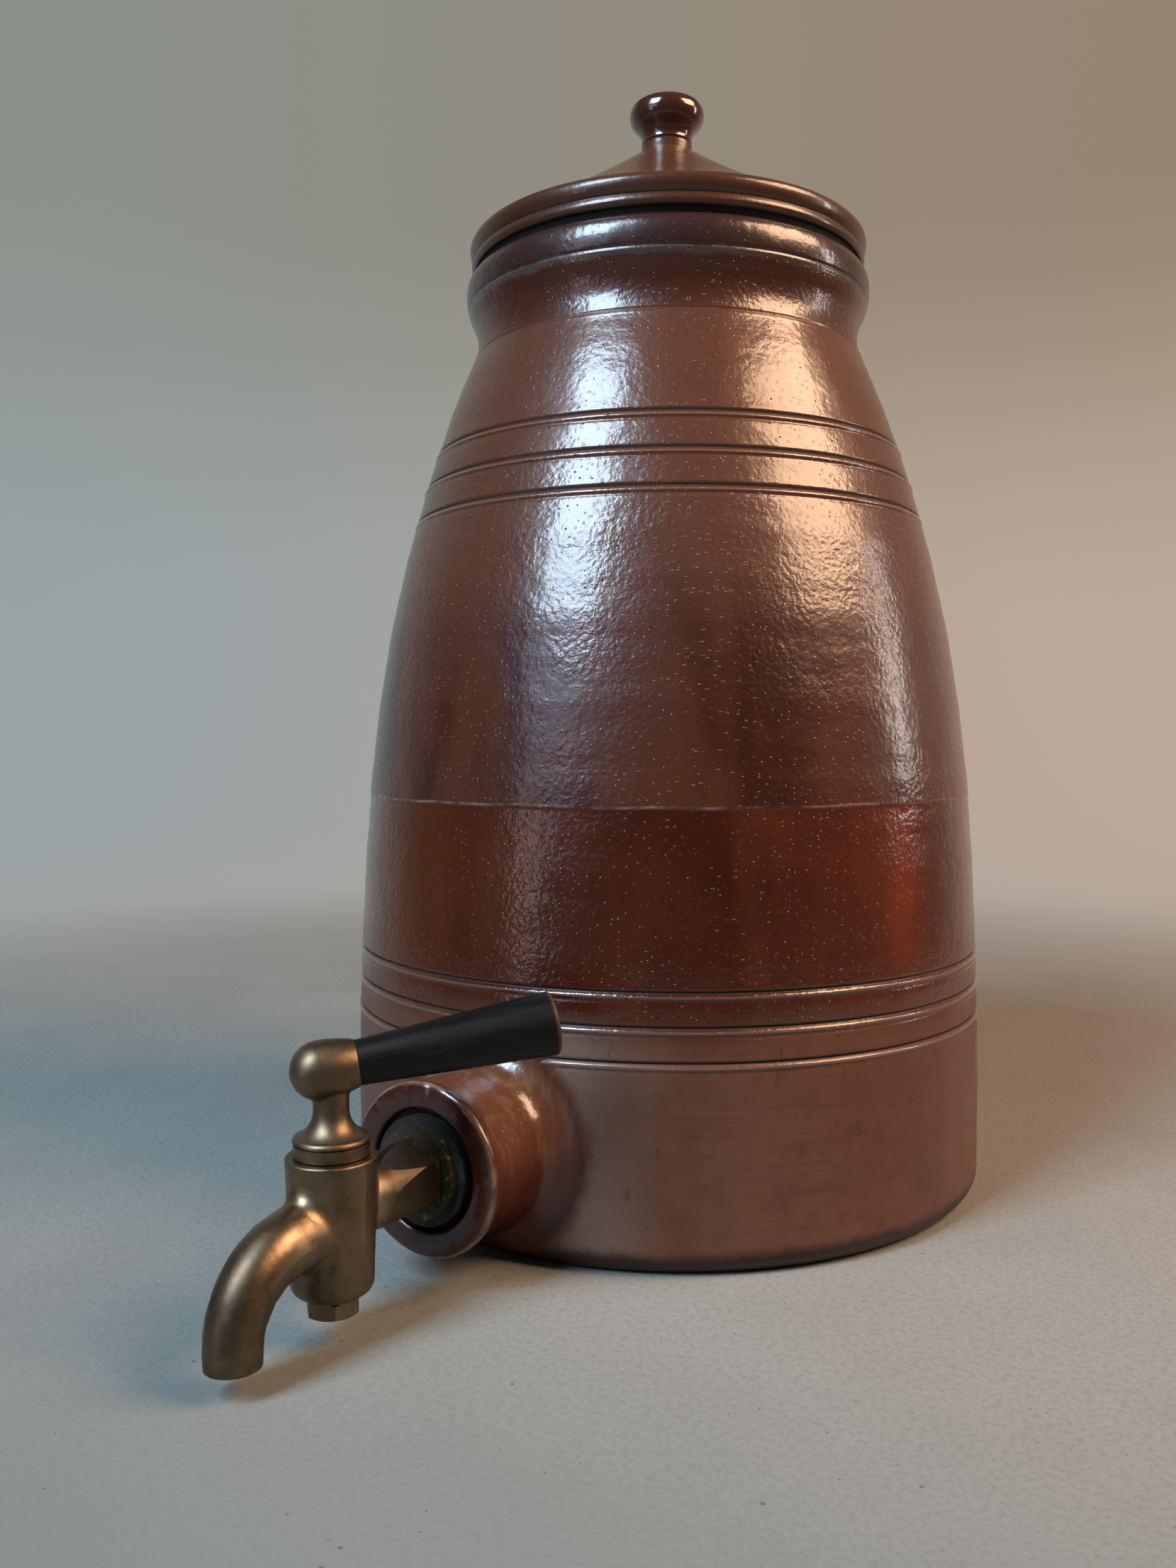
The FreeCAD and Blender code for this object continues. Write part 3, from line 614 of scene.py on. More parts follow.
def lidProfile():
    lid = lidSizes
    rim = collarRadius - lid["inset"]
    spigot = mouthRadius - lid["clearance"]
    hollow = spigot - lid["spigotThickness"]
    slope = lid["coneRise"] / (rim - lid["coneInset"] - lid["neckRadius"])

    def underCone(radius):
        across = rim - lid["coneInset"] - radius
        return lid["coneFoot"] + slope * across - lid["wall"] * math.sqrt(1 + slope ** 2)

    foot, roll, bead, length = lid["spigotRound"], lid["rimRoll"], lid["beadRound"], lid["spigotLength"]
    upper = rim - lid["rimWaist"]
    low = lid["rimHeight"] - roll
    neck = lid["neckRadius"]
    coneTop = lid["coneFoot"] + lid["coneRise"]
    neckTop = coneTop + lid["neckHeight"]
    middle = neckTop + lid["coveHeight"] + lid["knobSwell"]
    crown = middle + lid["knobCrown"]
    swell = lid["knobRadius"] - neck - lid["coveWidth"]
    dome = lid["knobRadius"] - lid["domeRadius"]
    corners = [
        (0, underCone(neck)),
        (neck, underCone(neck)),
        (hollow, underCone(hollow)),
        (hollow, foot - length),
        (hollow + foot, -length, foot),
        (spigot - foot, -length),
        (spigot, foot - length, foot),
        (spigot, 0),
        (spigot + lid["seatWidth"], 0),
        (rim - lid["beadInset"] - bead, lid["rimUnderside"]),
        (rim - lid["beadInset"], lid["rimUnderside"] + bead, bead),
        *[(upper - inset, low - below) for inset, below in lid["waistLine"]],
        (rim, lid["rimHeight"], rounding(lid["rimWaist"], roll)),
        (rim - roll, lid["rimHeight"] + roll, roll),
        (rim - lid["coneInset"], lid["coneFoot"]),
        (neck, coneTop, -lid["coneCurve"]),
        *[(neck - inset, neckTop - below) for inset, below in lid["neckLine"]],
        (neck, neckTop),
        (neck + lid["coveWidth"], neckTop + lid["coveHeight"],
         -rounding(lid["coveWidth"], lid["coveHeight"])),
        (lid["knobRadius"], middle, rounding(swell, lid["knobSwell"])),
        (lid["domeRadius"], crown, rounding(dome, lid["knobCrown"])),
        (0, crown + lid["domeHeight"], rounding(lid["domeHeight"], lid["domeRadius"])),
    ]
    base = lipTop + lid["gap"]
    return [(x, base + z) for x, z in traced(corners, lid["row"])]


def addLid():
    piece = turnProfile("lid_with_knob", lidProfile(), lidSizes["steps"])
    onlyObject(piece)
    bpy.ops.object.shade_smooth_by_angle(angle=math.radians(lidSizes["sharpest"]))
    return piece


cover = addLid()
ridingPiece(cover, "lid", "lid")
print("lid made:", len(cover.data.polygons), "faces")


# finishes

def startFinish(name):
    # a new material and the place on the piece that wears it
    material = bpy.data.materials.new(name)
    material.use_nodes = True
    return material, newNode(material.node_tree, "TexCoord").outputs["Object"]


def newNode(tree, kind, **settings):
    node = tree.nodes.new("ShaderNode" + kind)
    for setting, value in settings.items():
        setattr(node, setting, value)
    return node


def setInputs(node, inputs):
    # each input is a value, or an output of another node that is linked to it
    for place, value in inputs.items():
        if isinstance(value, bpy.types.NodeSocket):
            node.id_data.links.new(value, node.inputs[place])
        else:
            node.inputs[place].default_value = value


def addNode(kind, inputs, **settings):
    # the node joins the tree that its inputs come from
    tree = next(value.id_data for value in inputs.values() if isinstance(value, bpy.types.NodeSocket))
    node = newNode(tree, kind, **settings)
    setInputs(node, inputs)
    return node


def maths(operation, first, second=0.0, third=0.0):
    return addNode("Math", {0: first, 1: second, 2: third}, operation=operation).outputs[0]


def both(*fields):
    product = fields[0]
    for field in fields[1:]:
        product = maths("MULTIPLY", product, field)
    return product


def opposite(field):
    return maths("SUBTRACT", 1.0, field)


def added(total, *parts):
    # each part is a field and how much of it is added
    for field, amount in parts:
        total = maths("MULTIPLY_ADD", field, amount, total)
    return total


def eased(value, low, high, atLow=0.0, atHigh=1.0):
    settings = {"Value": value, "From Min": low, "From Max": high, "To Min": atLow, "To Max": atHigh}
    return addNode("MapRange", settings, interpolation_type="SMOOTHSTEP").outputs["Result"]


def roundBand(value, middle, half, soft):
    # 1 within a band and 0 outside it
    return eased(maths("ABSOLUTE", maths("SUBTRACT", value, middle)), half + soft, half)


def clouds(place, size, detail=2.0, rough=0.5):
    inputs = {"Vector": place, "Scale": 1 / size, "Detail": detail, "Roughness": rough}
    return addNode("TexNoise", inputs).outputs["Fac"]


def specks(place, spacing, radius, share):
    # round spots, one in a share of the cells
    here = addNode("TexVoronoi", {"Vector": place, "Scale": 1 / spacing})
    pick = addNode("SeparateColor", {"Color": here.outputs["Color"]}).outputs["Red"]
    size = maths("MULTIPLY", maths("LESS_THAN", pick, share), radius / spacing)
    edge = maths("SUBTRACT", size, here.outputs["Distance"])
    return eased(edge, -0.1 * radius / spacing, 0.25 * radius / spacing)


def scaled(place, across, up, turn=(0, 0, 0), shift=(0, 0, 0)):
    inputs = {"Vector": place, "Scale": (across, across, up), "Rotation": turn, "Location": shift}
    return addNode("Mapping", inputs).outputs["Vector"]


def axes(place):
    parts = addNode("SeparateXYZ", {"Vector": place})
    return [parts.outputs[axis] for axis in "XYZ"]


def distance(place, kept=(1, 1, 1)):
    # how far a place is from the origin, along the axes that are kept
    flat = addNode("VectorMath", {0: place, 1: kept}, operation="MULTIPLY").outputs[0]
    return addNode("VectorMath", {0: flat}, operation="LENGTH").outputs["Value"]


def attribute(place, name):
    return newNode(place.id_data, "Attribute", attribute_name=name).outputs["Fac"]


def layered(tints, base, *layers):
    # each layer is its share and its tint, by name or as an output, laid over those before it
    for share, tint in layers:
        under, over = [colour(tints[part]) if isinstance(part, str) else part for part in (base, tint)]
        base = addNode("Mix", {0: share, 6: under, 7: over}, data_type="RGBA").outputs[2]
    return base


def raised(*bumps):
    # each bump is its pattern and its depth
    normal = None
    for height, depth in bumps:
        inputs = {"Height": height, "Distance": depth, "Strength": 1.0}
        if normal:
            inputs["Normal"] = normal
        normal = addNode("Bump", inputs).outputs["Normal"]
    return normal


def finishShader(material, inputs):
    setInputs(material.node_tree.nodes["Principled BSDF"], inputs)
    return material


glazeTints = {
    "upper": "49251a",
    "upperWarm": "4d250e",
    # painted sheen, paler higher up
    "upperSheen": "5c3a2c",
    "upperDark": "331106",
    "middle": "441806",
    "middleDark": "350f04",
    "run": "603014",
    "blush": "7c3208",
    "foot": "5e3c2b",
    "footRed": "50291c",
    # painted cool reflection on the foot's front
    "footSheen": "745f52",
    # darker glaze and painted shade along the base, and the scuffs' tint
    "footDarkAndShade": "260c07",
    "boss": "5c3826",
    "bossPale": "805c44",
    "bossRed": "40170b",
    "bossFace": "35160f",
    "cove": "421e12",
    "collar": "331c18",
    "ash": "4e453d",
    # painted shade in the grooves and lines
    "groove": "170a06",
    # the boss's worn edge, and a painted highlight on the ribs
    "worn": "8a6450",
    # painted highlight along the glaze seam
    "seamHighlight": "7d6154",
    "pit": "080302",
    "fleck": "ac6c3a",
    "lid": "4a2b1b",
    "lidWarm": "583620",
    "lidRim": "3a1e12",
    # painted shade under the lid's rim
    "lidUnderShade": "0d0805",
    "lidBare": "5a4231",
    "knob": "3a1b11",
}

# sizes of the patterns, depths of the relief, and how dull and how coated the glaze is
glazeSizes = {
    "patches": 45 * mm,
    "mottle": 7 * mm,
    "shade": 38 * mm,
    "runs": 15 * mm,
    "striae": 1.4 * mm,
    "streaks": 3 * mm,
    "scuffs": 3 * mm,
    "ashClouds": 5 * mm,
    "ashSway": 3.4 * mm,
    "ashShare": 0.6,
    "pitGroups": 14 * mm,
    "roughPatches": 21 * mm,
    "blushClouds": 8 * mm,
    "blushSway": 8 * mm,
    "blushShift": (-94.5 * mm, 31.4 * mm, -31 * mm),
    "seamSway": 0.9 * mm,
    "seamClouds": 24 * mm,
    "seamSoft": 0.3 * mm,
    "footSway": 14 * mm,
    "footSoft": 6 * mm,
    "edgeSway": 5 * mm,
    "underSway": 8 * mm,
    "pitsOnFoot": -0.9,
    "smoother": -0.6,
    "swirls": (2.6 * mm, 0.04 * mm),
    "lumps": (5 * mm, 0.16 * mm),
    "grain": (1.5 * mm, 0.2 * mm),
    "blisterDepth": 0.09 * mm,
    "pitDepth": -0.18 * mm,
    "dull": 0.34,
    "dullBy": {
        "patches": -0.08,
        "middle": -0.06,
        "foot": 0.08,
        "bossNear": -0.14,
        "collar": -0.01,
        "marks": 0.5,
    },
    "coat": 0.5,
    "coatFoot": -0.4,
    "coatRoughness": 0.14,
    "specular": 0.44,
}

# where each layer fades, from and to, and its shares there unless they are 0 and 1
glazeFades = {
    "upperWarm": (0.35, 0.7),
    "shade": (0.46, 0.64),
    "shadeHeight": (190 * mm, 160 * mm, 0.4, 0.95),
    "upperSheen": (160 * mm, 200 * mm, 0, 0.5),
    "middleDark": (0.3, 0.7),
    "runs": (0.45, 0.85, 0, 0.4),
    "runLeft": (10 * mm, -70 * mm, 0, 0.5),
    "runRight": (60 * mm, 95 * mm, 0, 0.3),
    "blush": (16 * mm, 4 * mm, 0, 0.55),
    "footMottle": (0.42, 0.75, 0, 0.6),
    "footStriae": (0.45, 0.75, 0, 0.5),
    "footShade": (0.45, 0.65, 0, 0.5),
    "sheenFront": (0, -60 * mm, 0, 0.8),
    "scuffs": (0.6, 0.72, 0, 0.5),
    "edging": (10.5 * mm, 6.5 * mm),
    "boss": (36 * mm, 31 * mm),
    "bossFront": (-60 * mm, -70 * mm),
    "bossFace": (-121.5 * mm, -124.5 * mm),
    "bossPale": (0.45, 0.8, 0, 0.7),
    "bossUnder": (43 * mm, 30 * mm),
    "bossRoot": (28 * mm, 32 * mm, 0, 0.65),
    "bossNear": (32 * mm, 26 * mm),
    "bossCoat": (30 * mm, 25 * mm),
    "cove": (259.5 * mm, 262 * mm),
    "collar": (274.5 * mm, 276.5 * mm),
    "seamHighlight": (0.4, 0.65, 0.05, 0.75),
    "groove": (-0.3, -0.9),
    "rib": (0.6, 1.0, 0, 0.45),
    "ribCoat": (0.1, 0.5, 0, 0.9),
    "worn": (0.35, 0.6, 0.15, 0.9),
    "pitGroups": (0.36, 0.55),
    "fleckHeight": (205 * mm, 165 * mm, 0.15, 0.45),
    "rough": (0.3, 0.65, 0.4, 1.0),
    "roughHeight": (240 * mm, 195 * mm, 0.5, 1.0),
}

# (middle, half width, softness) of each band
glazeBands = {
    "sheenBand": (22 * mm, 8 * mm, 24 * mm),
    "ash": (277.2 * mm, 0.5 * mm, 1.1 * mm),
    "seamHighlight": (jar["glazeSeam"] + 0.45 * mm, 0.15 * mm, 0.35 * mm),
}

# (spacing, radius, share of the cells) of each kind of speck
glazeSpecks = {
    "pits": (2.4 * mm, 0.3 * mm, 0.55),
    "blisters": (1.7 * mm, 0.42 * mm, 0.5),
    "flecks": (1.2 * mm, 0.14 * mm, 0.4),
}


def fade(value, name):
    return eased(value, *glazeFades[name])


def glazePatterns(place):
    # the patterns and zones that the glaze's colour, relief and gloss share
    sizes = glazeSizes
    glaze = SimpleNamespace(place=place)
    glaze.across, glaze.ahead, glaze.height = axes(place)
    glaze.patches = clouds(place, sizes["patches"], 3)
    glaze.mottle = clouds(place, sizes["mottle"], 3, 0.6)
    glaze.shade = clouds(scaled(place, 1, 0.35), sizes["shade"], 3, 0.55)
    sway = clouds(scaled(place, 1, 0), sizes["seamClouds"], 1)
    sway = added(-sizes["seamSway"], (sway, 2 * sizes["seamSway"]))
    glaze.seam = maths("SUBTRACT", glaze.height, sway)
    line, soft = jar["glazeSeam"], sizes["seamSoft"]
    glaze.lower = eased(glaze.seam, line + soft, line - soft)
    footTop = added(glaze.height, (glaze.patches, -sizes["footSway"]))
    line, soft = jar["lowerRings"], sizes["footSoft"]
    glaze.foot = eased(footTop, line + soft, line - soft)
    glaze.offFoot = opposite(glaze.foot)
    glaze.middle = both(glaze.lower, glaze.offFoot)
    # the lowest band of the foot is painted dark: darker glaze there, and painted shade where the pot
    # meets the floor
    glaze.edging = fade(added(glaze.height, (glaze.mottle, sizes["edgeSway"])), "edging")
    glaze.cove = fade(glaze.height, "cove")
    glaze.collar = fade(glaze.height, "collar")
    fromBoss = scaled(place, 1, 1, shift=(0, 0, -bossSizes["height"]))
    glaze.fromBoss = distance(fromBoss, (1, 0, 1))
    glaze.spread = added(glaze.fromBoss, (glaze.mottle, sizes["edgeSway"]))
    glaze.boss = both(fade(glaze.spread, "boss"), fade(glaze.ahead, "bossFront"))
    glaze.bossNear = both(glaze.boss, fade(glaze.fromBoss, "bossNear"))
    glaze.relief = attribute(place, "relief")
    # the grooves of the rings and lines are painted dark as shade
    glaze.groove = fade(glaze.relief, "groove")
    groups = fade(clouds(place, sizes["pitGroups"], 2), "pitGroups")
    pits = both(specks(place, *glazeSpecks["pits"]), groups)
    glaze.pits = both(pits, added(1.0, (glaze.foot, sizes["pitsOnFoot"])))
    glaze.marks = maths("MAXIMUM", glaze.groove, glaze.pits)
    return glaze


def upperColour(glaze):
    dark = both(fade(glaze.shade, "shade"), fade(glaze.height, "shadeHeight"))
    return layered(
        glazeTints, "upper",
        (fade(glaze.patches, "upperWarm"), "upperWarm"),
        (dark, "upperDark"),
        # painted sheen, paler higher up where the highlights merge
        (fade(glaze.height, "upperSheen"), "upperSheen"),
    )


def middleColour(glaze):
    sizes = glazeSizes
    runs = clouds(scaled(glaze.place, 1, 0.12), sizes["runs"], 2)
    blush = distance(scaled(glaze.place, 1, 0.3, shift=sizes["blushShift"]))
    blush = added(blush, (clouds(glaze.place, sizes["blushClouds"], 2), sizes["blushSway"]))
    return layered(
        glazeTints, "middle",
        (fade(glaze.patches, "middleDark"), "middleDark"),
        (fade(runs, "runs"), "run"),
        (fade(glaze.across, "runLeft"), "run"),
        (fade(glaze.across, "runRight"), "run"),
        (fade(blush, "blush"), "blush"),
    )


def footColour(glaze):
    striae = clouds(scaled(glaze.place, 0.04, 1), glazeSizes["striae"], 3, 0.6)
    slanted = scaled(glaze.place, 1, 0.5, turn=(0.5, 0.3, 0))
    scuffs = clouds(slanted, glazeSizes["scuffs"], 4, 0.7)
    # a painted cool reflection on the front of the foot beside the boss
    sheenBand = roundBand(glaze.across, *glazeBands["sheenBand"])
    sheenBand = both(sheenBand, fade(glaze.ahead, "sheenFront"))
    return layered(
        glazeTints, "foot",
        (fade(glaze.mottle, "footMottle"), "footRed"),
        (fade(striae, "footStriae"), "footRed"),
        (fade(glaze.shade, "footShade"), "footRed"),
        # painted reflection
        (sheenBand, "footSheen"),
        (fade(scuffs, "scuffs"), "footDarkAndShade"),
        # darker glaze and painted shade along the base
        (glaze.edging, "footDarkAndShade"),
    )


def bossColour(glaze):
    streaks = clouds(scaled(glaze.place, 1, 0.15), glazeSizes["streaks"], 2)
    under = added(glaze.height, (glaze.mottle, glazeSizes["underSway"]))
    return layered(
        glazeTints, "boss",
        (fade(streaks, "bossPale"), "bossPale"),
        (fade(under, "bossUnder"), "bossRed"),
        (fade(glaze.spread, "bossRoot"), "bossRed"),
    )


def potColour(glaze):
    face = both(glaze.boss, fade(glaze.ahead, "bossFace"))
    sizes = glazeSizes
    ash = clouds(scaled(glaze.place, 1, 0.3), sizes["ashClouds"], 3)
    ash = roundBand(added(glaze.height, (ash, sizes["ashSway"])), *glazeBands["ash"])
    # a painted highlight along the glaze seam's edge
    seamHighlight = roundBand(glaze.seam, *glazeBands["seamHighlight"])
    seamHighlight = both(seamHighlight, fade(glaze.mottle, "seamHighlight"))
    # the rib below each groove is painted pale, a painted highlight along its top
    rib = fade(glaze.relief, "rib")
    worn = attribute(glaze.place, "worn")
    worn = both(worn, fade(glaze.mottle, "worn"))
    elsewhere = scaled(glaze.place, 1, 1, shift=(0.7, 0.5, 0.1))
    flecks = specks(elsewhere, *glazeSpecks["flecks"])
    flecks = both(flecks, fade(glaze.height, "fleckHeight"), glaze.offFoot)
    return layered(
        glazeTints, upperColour(glaze),
        (glaze.lower, middleColour(glaze)),
        (glaze.foot, footColour(glaze)),
        (glaze.boss, bossColour(glaze)),
        (face, "bossFace"),
        (glaze.cove, "cove"),
        (glaze.collar, "collar"),
        (both(ash, sizes["ashShare"]), "ash"),
        (seamHighlight, "seamHighlight"),
        # painted highlight on the ribs
        (rib, "worn"),
        # painted shade in the grooves
        (glaze.groove, "groove"),
        (worn, "worn"),
        (flecks, "fleck"),
        (glaze.pits, "pit"),
    )


def potRelief(glaze):
    # relief too fine for the mesh, fainter on the foot, the collar and high up
    sizes, place = glazeSizes, glaze.place
    rough = both(
        fade(clouds(place, sizes["roughPatches"]), "rough"),
        added(1.0, (glaze.foot, sizes["smoother"])),
        added(1.0, (glaze.collar, sizes["smoother"])),
        maths("MAXIMUM", glaze.cove, fade(glaze.height, "roughHeight")),
    )
    elsewhere = scaled(place, 1, 1, shift=(0.3, 0.2, 0.7))
    blisters = specks(elsewhere, *glazeSpecks["blisters"])
    swirls = clouds(scaled(place, 0.06, 1), sizes["swirls"][0], 1)
    lumps = clouds(place, sizes["lumps"][0], 2)
    grain = clouds(place, sizes["grain"][0], 2)
    return raised(
        (swirls, sizes["swirls"][1]),
        (lumps, sizes["lumps"][1]),
        (both(grain, rough), sizes["grain"][1]),
        (both(blisters, rough), sizes["blisterDepth"]),
        (glaze.pits, sizes["pitDepth"]),
    )


def potGlaze():
    material, place = startFinish("potGlaze")
    sizes = glazeSizes
    glaze = glazePatterns(place)
    normal = potRelief(glaze)
    dulled = [(getattr(glaze, zone), amount) for zone, amount in sizes["dullBy"].items()]
    offBoss = opposite(fade(glaze.fromBoss, "bossCoat"))
    coat = added(sizes["coat"], (both(glaze.foot, offBoss), sizes["coatFoot"]))
    coat = maths("MAXIMUM", coat, fade(glaze.relief, "ribCoat"))
    return finishShader(material, {
        "Base Color": potColour(glaze),
        "Roughness": added(sizes["dull"], *dulled),
        "Specular IOR Level": sizes["specular"],
        "Coat Weight": both(coat, opposite(glaze.edging), opposite(glaze.marks)),
        "Coat Roughness": sizes["coatRoughness"],
        "Normal": normal,
        "Coat Normal": normal,
    })


lidFinish = {
    "patches": 30 * mm,
    "mottle": 4 * mm,
    "warm": (0.35, 0.65),
    "dark": (0.5, 0.8, 0, 0.45),
    "knob": (331 * mm, 335 * mm),
    "knobSway": 4 * mm,
    "rim": (299 * mm, 296.5 * mm, 0, 0.7),
    "rimSway": 1.5 * mm,
    "waistBelow": 0.3 * mm,
    "waistBand": (0.1 * mm, 0.45 * mm),
    "waistShare": 0.7,
    "bareEdge": (1 * mm, 0.4 * mm),
    "underShadeEdge": (0.4 * mm, 0.05 * mm),
    "pits": (3 * mm, 0.25 * mm, 0.2),
    "swirls": (2.2 * mm, 0.05 * mm),
    "lumps": (3.5 * mm, 0.09 * mm),
    "grain": (1.1 * mm, 0.035 * mm),
    "pitDepth": -0.1 * mm,
    "dull": 0.38,
    "dullPatches": -0.12,
    "dullKnob": -0.12,
    "dullUnder": 0.4,
    "coat": 0.35,
    "coatKnob": 0.6,
    "coatRoughness": 0.09,
    "specular": 0.42,
}


def lidGlaze():
    material, place = startFinish("lidGlaze")
    sizes = lidFinish
    height = axes(place)[2]
    patches = clouds(place, sizes["patches"], 3)
    mottle = clouds(place, sizes["mottle"], 3, 0.6)
    knob = eased(added(height, (mottle, sizes["knobSway"])), *sizes["knob"])
    rim = eased(added(height, (mottle, sizes["rimSway"])), *sizes["rim"])
    seat = lipTop + lidSizes["gap"]
    waist = seat + lidSizes["rimHeight"] - lidSizes["rimRoll"] - sizes["waistBelow"]
    # the waist line is painted dark as shade in its crease
    inset = roundBand(height, waist, *sizes["waistBand"])

    # the underside is painted dark as shade under the rim, and the spigot and its end are bare of glaze
    spigot = mouthRadius - lidSizes["clearance"]
    bareSide = eased(distance(place, (1, 1, 0)), *[spigot + edge for edge in sizes["bareEdge"]])
    bare = both(bareSide, eased(height, *[lipTop + edge for edge in sizes["bareEdge"]]))
    low = seat + lidSizes["rimUnderside"]
    under = eased(height, *[low + edge for edge in sizes["underShadeEdge"]])
    under = both(under, opposite(bare))
    matt = maths("MAXIMUM", under, bare)
    pits = specks(place, *sizes["pits"])
    base = layered(
        glazeTints, "lid",
        (eased(patches, *sizes["warm"]), "lidWarm"),
        (eased(mottle, *sizes["dark"]), "middle"),
        (knob, "knob"),
        (rim, "lidRim"),
        # painted shade in the waist line
        (both(inset, sizes["waistShare"]), "groove"),
        # painted shade under the rim
        (under, "lidUnderShade"),
        (bare, layered(glazeTints, "lidBare", (mottle, "lidRim"))),
        (pits, "pit"),
    )
    normal = raised(
        (clouds(scaled(place, 0.06, 1), sizes["swirls"][0], 1), sizes["swirls"][1]),
        (clouds(place, sizes["lumps"][0]), sizes["lumps"][1]),
        (clouds(place, sizes["grain"][0]), sizes["grain"][1]),
        (pits, sizes["pitDepth"]),
    )
    dull = added(sizes["dull"], (patches, sizes["dullPatches"]), (knob, sizes["dullKnob"]))
    coat = added(sizes["coat"], (knob, sizes["coatKnob"]))
    return finishShader(material, {
        "Base Color": base,
        "Roughness": added(dull, (matt, sizes["dullUnder"])),
        "Specular IOR Level": sizes["specular"],
        "Coat Weight": both(coat, opposite(matt)),
        "Coat Roughness": sizes["coatRoughness"],
        "Normal": normal,
        "Coat Normal": normal,
    })


brassFinish = {
    "aged": "8a765f",
    "dark": "42382c",
    "warm": "906a45",
    "verdigris": "1b1c13",
    "lime": "8d9a46",
    "patches": 14 * mm,
    "mottle": 2.5 * mm,
    "blots": 6 * mm,
    "patchFade": (0.3, 0.75, 0, 0.6),
    "blotFade": (0.5, 0.7, 0, 0.5),
    "warmFade": (0.48, 0.8, 0, 0.35),
    "spoutFade": (-171 * mm, -183 * mm, 0, 0.45),
    "spoutSway": 6 * mm,
    "shankBand": (-138 * mm, 7 * mm, 5 * mm),
    "shankShare": 0.8,
    "stainFade": (-128.5 * mm, -125 * mm),
    "stainSway": 5 * mm,
    "stainShare": 0.85,
    "metalUnderStain": -0.6,
    "limeFade": (0.57, 0.68, 0, 0.6),
    "limeRise": 0.01,
    "grain": (0.7 * mm, 0.02 * mm),
    "lumps": (4 * mm, 0.07 * mm),
    "dull": 0.28,
    "dullPatches": 0.18,
    "dullMottle": 0.08,
}


def agedBrass():
    material, place = startFinish("agedBrass")
    brass = brassFinish
    ahead, height = axes(place)[1:]
    patches = clouds(place, brass["patches"], 2, 0.5)
    mottle = clouds(place, brass["mottle"], 3, 0.6)
    blots = clouds(place, brass["blots"], 3, 0.6)
    spout = eased(added(ahead, (blots, brass["spoutSway"])), *brass["spoutFade"])
    shank = roundBand(ahead, *brass["shankBand"])
    stain = eased(added(ahead, (mottle, brass["stainSway"])), *brass["stainFade"])
    lime = eased(added(mottle, (height, brass["limeRise"])), *brass["limeFade"])
    base = layered(
        brass, "aged",
        (eased(patches, *brass["patchFade"]), "dark"),
        (eased(blots, *brass["blotFade"]), "dark"),
        (spout, "dark"),
        (eased(mottle, *brass["warmFade"]), "warm"),
        (both(shank, brass["shankShare"]), "dark"),
        (both(stain, brass["stainShare"]), "verdigris"),
        (both(stain, lime), "lime"),
    )
    grain = clouds(place, brass["grain"][0], 3)
    lumps = clouds(place, brass["lumps"][0], 2)
    dull = added(brass["dull"], (patches, brass["dullPatches"]), (mottle, brass["dullMottle"]))
    return finishShader(material, {
        "Base Color": base,
        "Metallic": added(1.0, (stain, brass["metalUnderStain"])),
        "Roughness": dull,
        "Normal": raised((grain, brass["grain"][1]), (lumps, brass["lumps"][1])),
    })


handleFinish = {
    "azimuth": 48.5,
    "tilt": 7.8,
    "wood": "060605",
    "paleWood": "0d0c0b",
    "wornWood": "4c3424",
    "streaks": (0.9 * mm, 0.05 * mm),
    "streakFade": (0.35, 0.75),
    "endSway": 0.8 * mm,
    "wornEnd": (-1.1 * mm, -0.2 * mm, 0, 0.8),
    "dull": 0.33,
    "dullStreaks": 0.25,
    "specular": 0.25,
}


def ebonyWood():
    # the grain runs along the handle, and its end is worn
    material, place = startFinish("ebonyWood")
    wood = handleFinish
    flatTurn = (0, 0, -math.radians(wood["azimuth"]))
    tilt = (0, math.radians(wood["tilt"]), 0)
    along = scaled(scaled(place, 1, 1, turn=flatTurn), 1, 1, turn=tilt)
    grain = addNode("Mapping", {"Vector": along, "Scale": (0.05, 1, 1)}).outputs["Vector"]
    streaks = clouds(grain, wood["streaks"][0], 3, 0.6)
    turned = Euler(tilt).to_matrix() @ Euler(flatTurn).to_matrix()
    end = max((turned @ point.co).x for point in nodes["handle_grip"].data.vertices)
    fromEnd = maths("SUBTRACT", axes(along)[0], end)
    base = layered(
        wood, "wood",
        (eased(streaks, *wood["streakFade"]), "paleWood"),
        (eased(added(fromEnd, (streaks, wood["endSway"])), *wood["wornEnd"]), "wornWood"),
    )
    return finishShader(material, {
        "Base Color": base,
        "Roughness": added(wood["dull"], (streaks, wood["dullStreaks"])),
        "Specular IOR Level": wood["specular"],
        "Normal": raised((streaks, wood["streaks"][1])),
    })


plainGrain = {
    "grain": 0.6 * mm,
    "spots": 4 * mm,
    "spotFade": (0.5, 0.68),
    "dullGrain": 0.15,
    "depth": 0.02 * mm,
}

plainFinishes = {
    "rodSteel": {"tint": "8d8a86", "stain": "8d8a86", "dull": 0.28, "metallic": 1.0},
    "sealRubber": {"tint": "12140e", "stain": "27352a", "dull": 0.53, "metallic": 0.0},
}


def plainFinish(name):
    material, place = startFinish(name)
    finish, grain = plainFinishes[name], plainGrain
    texture = clouds(place, grain["grain"], 3)
    spots = eased(clouds(place, grain["spots"], 3, 0.6), *grain["spotFade"])
    return finishShader(material, {
        "Base Color": layered(finish, "tint", (spots, "stain")),
        "Metallic": finish["metallic"],
        "Roughness": added(finish["dull"], (texture, grain["dullGrain"])),
        "Normal": raised((texture, grain["depth"])),
    })


def dress(pieces, material):
    for piece in pieces:
        piece.data.materials.clear()
        piece.data.materials.append(material)


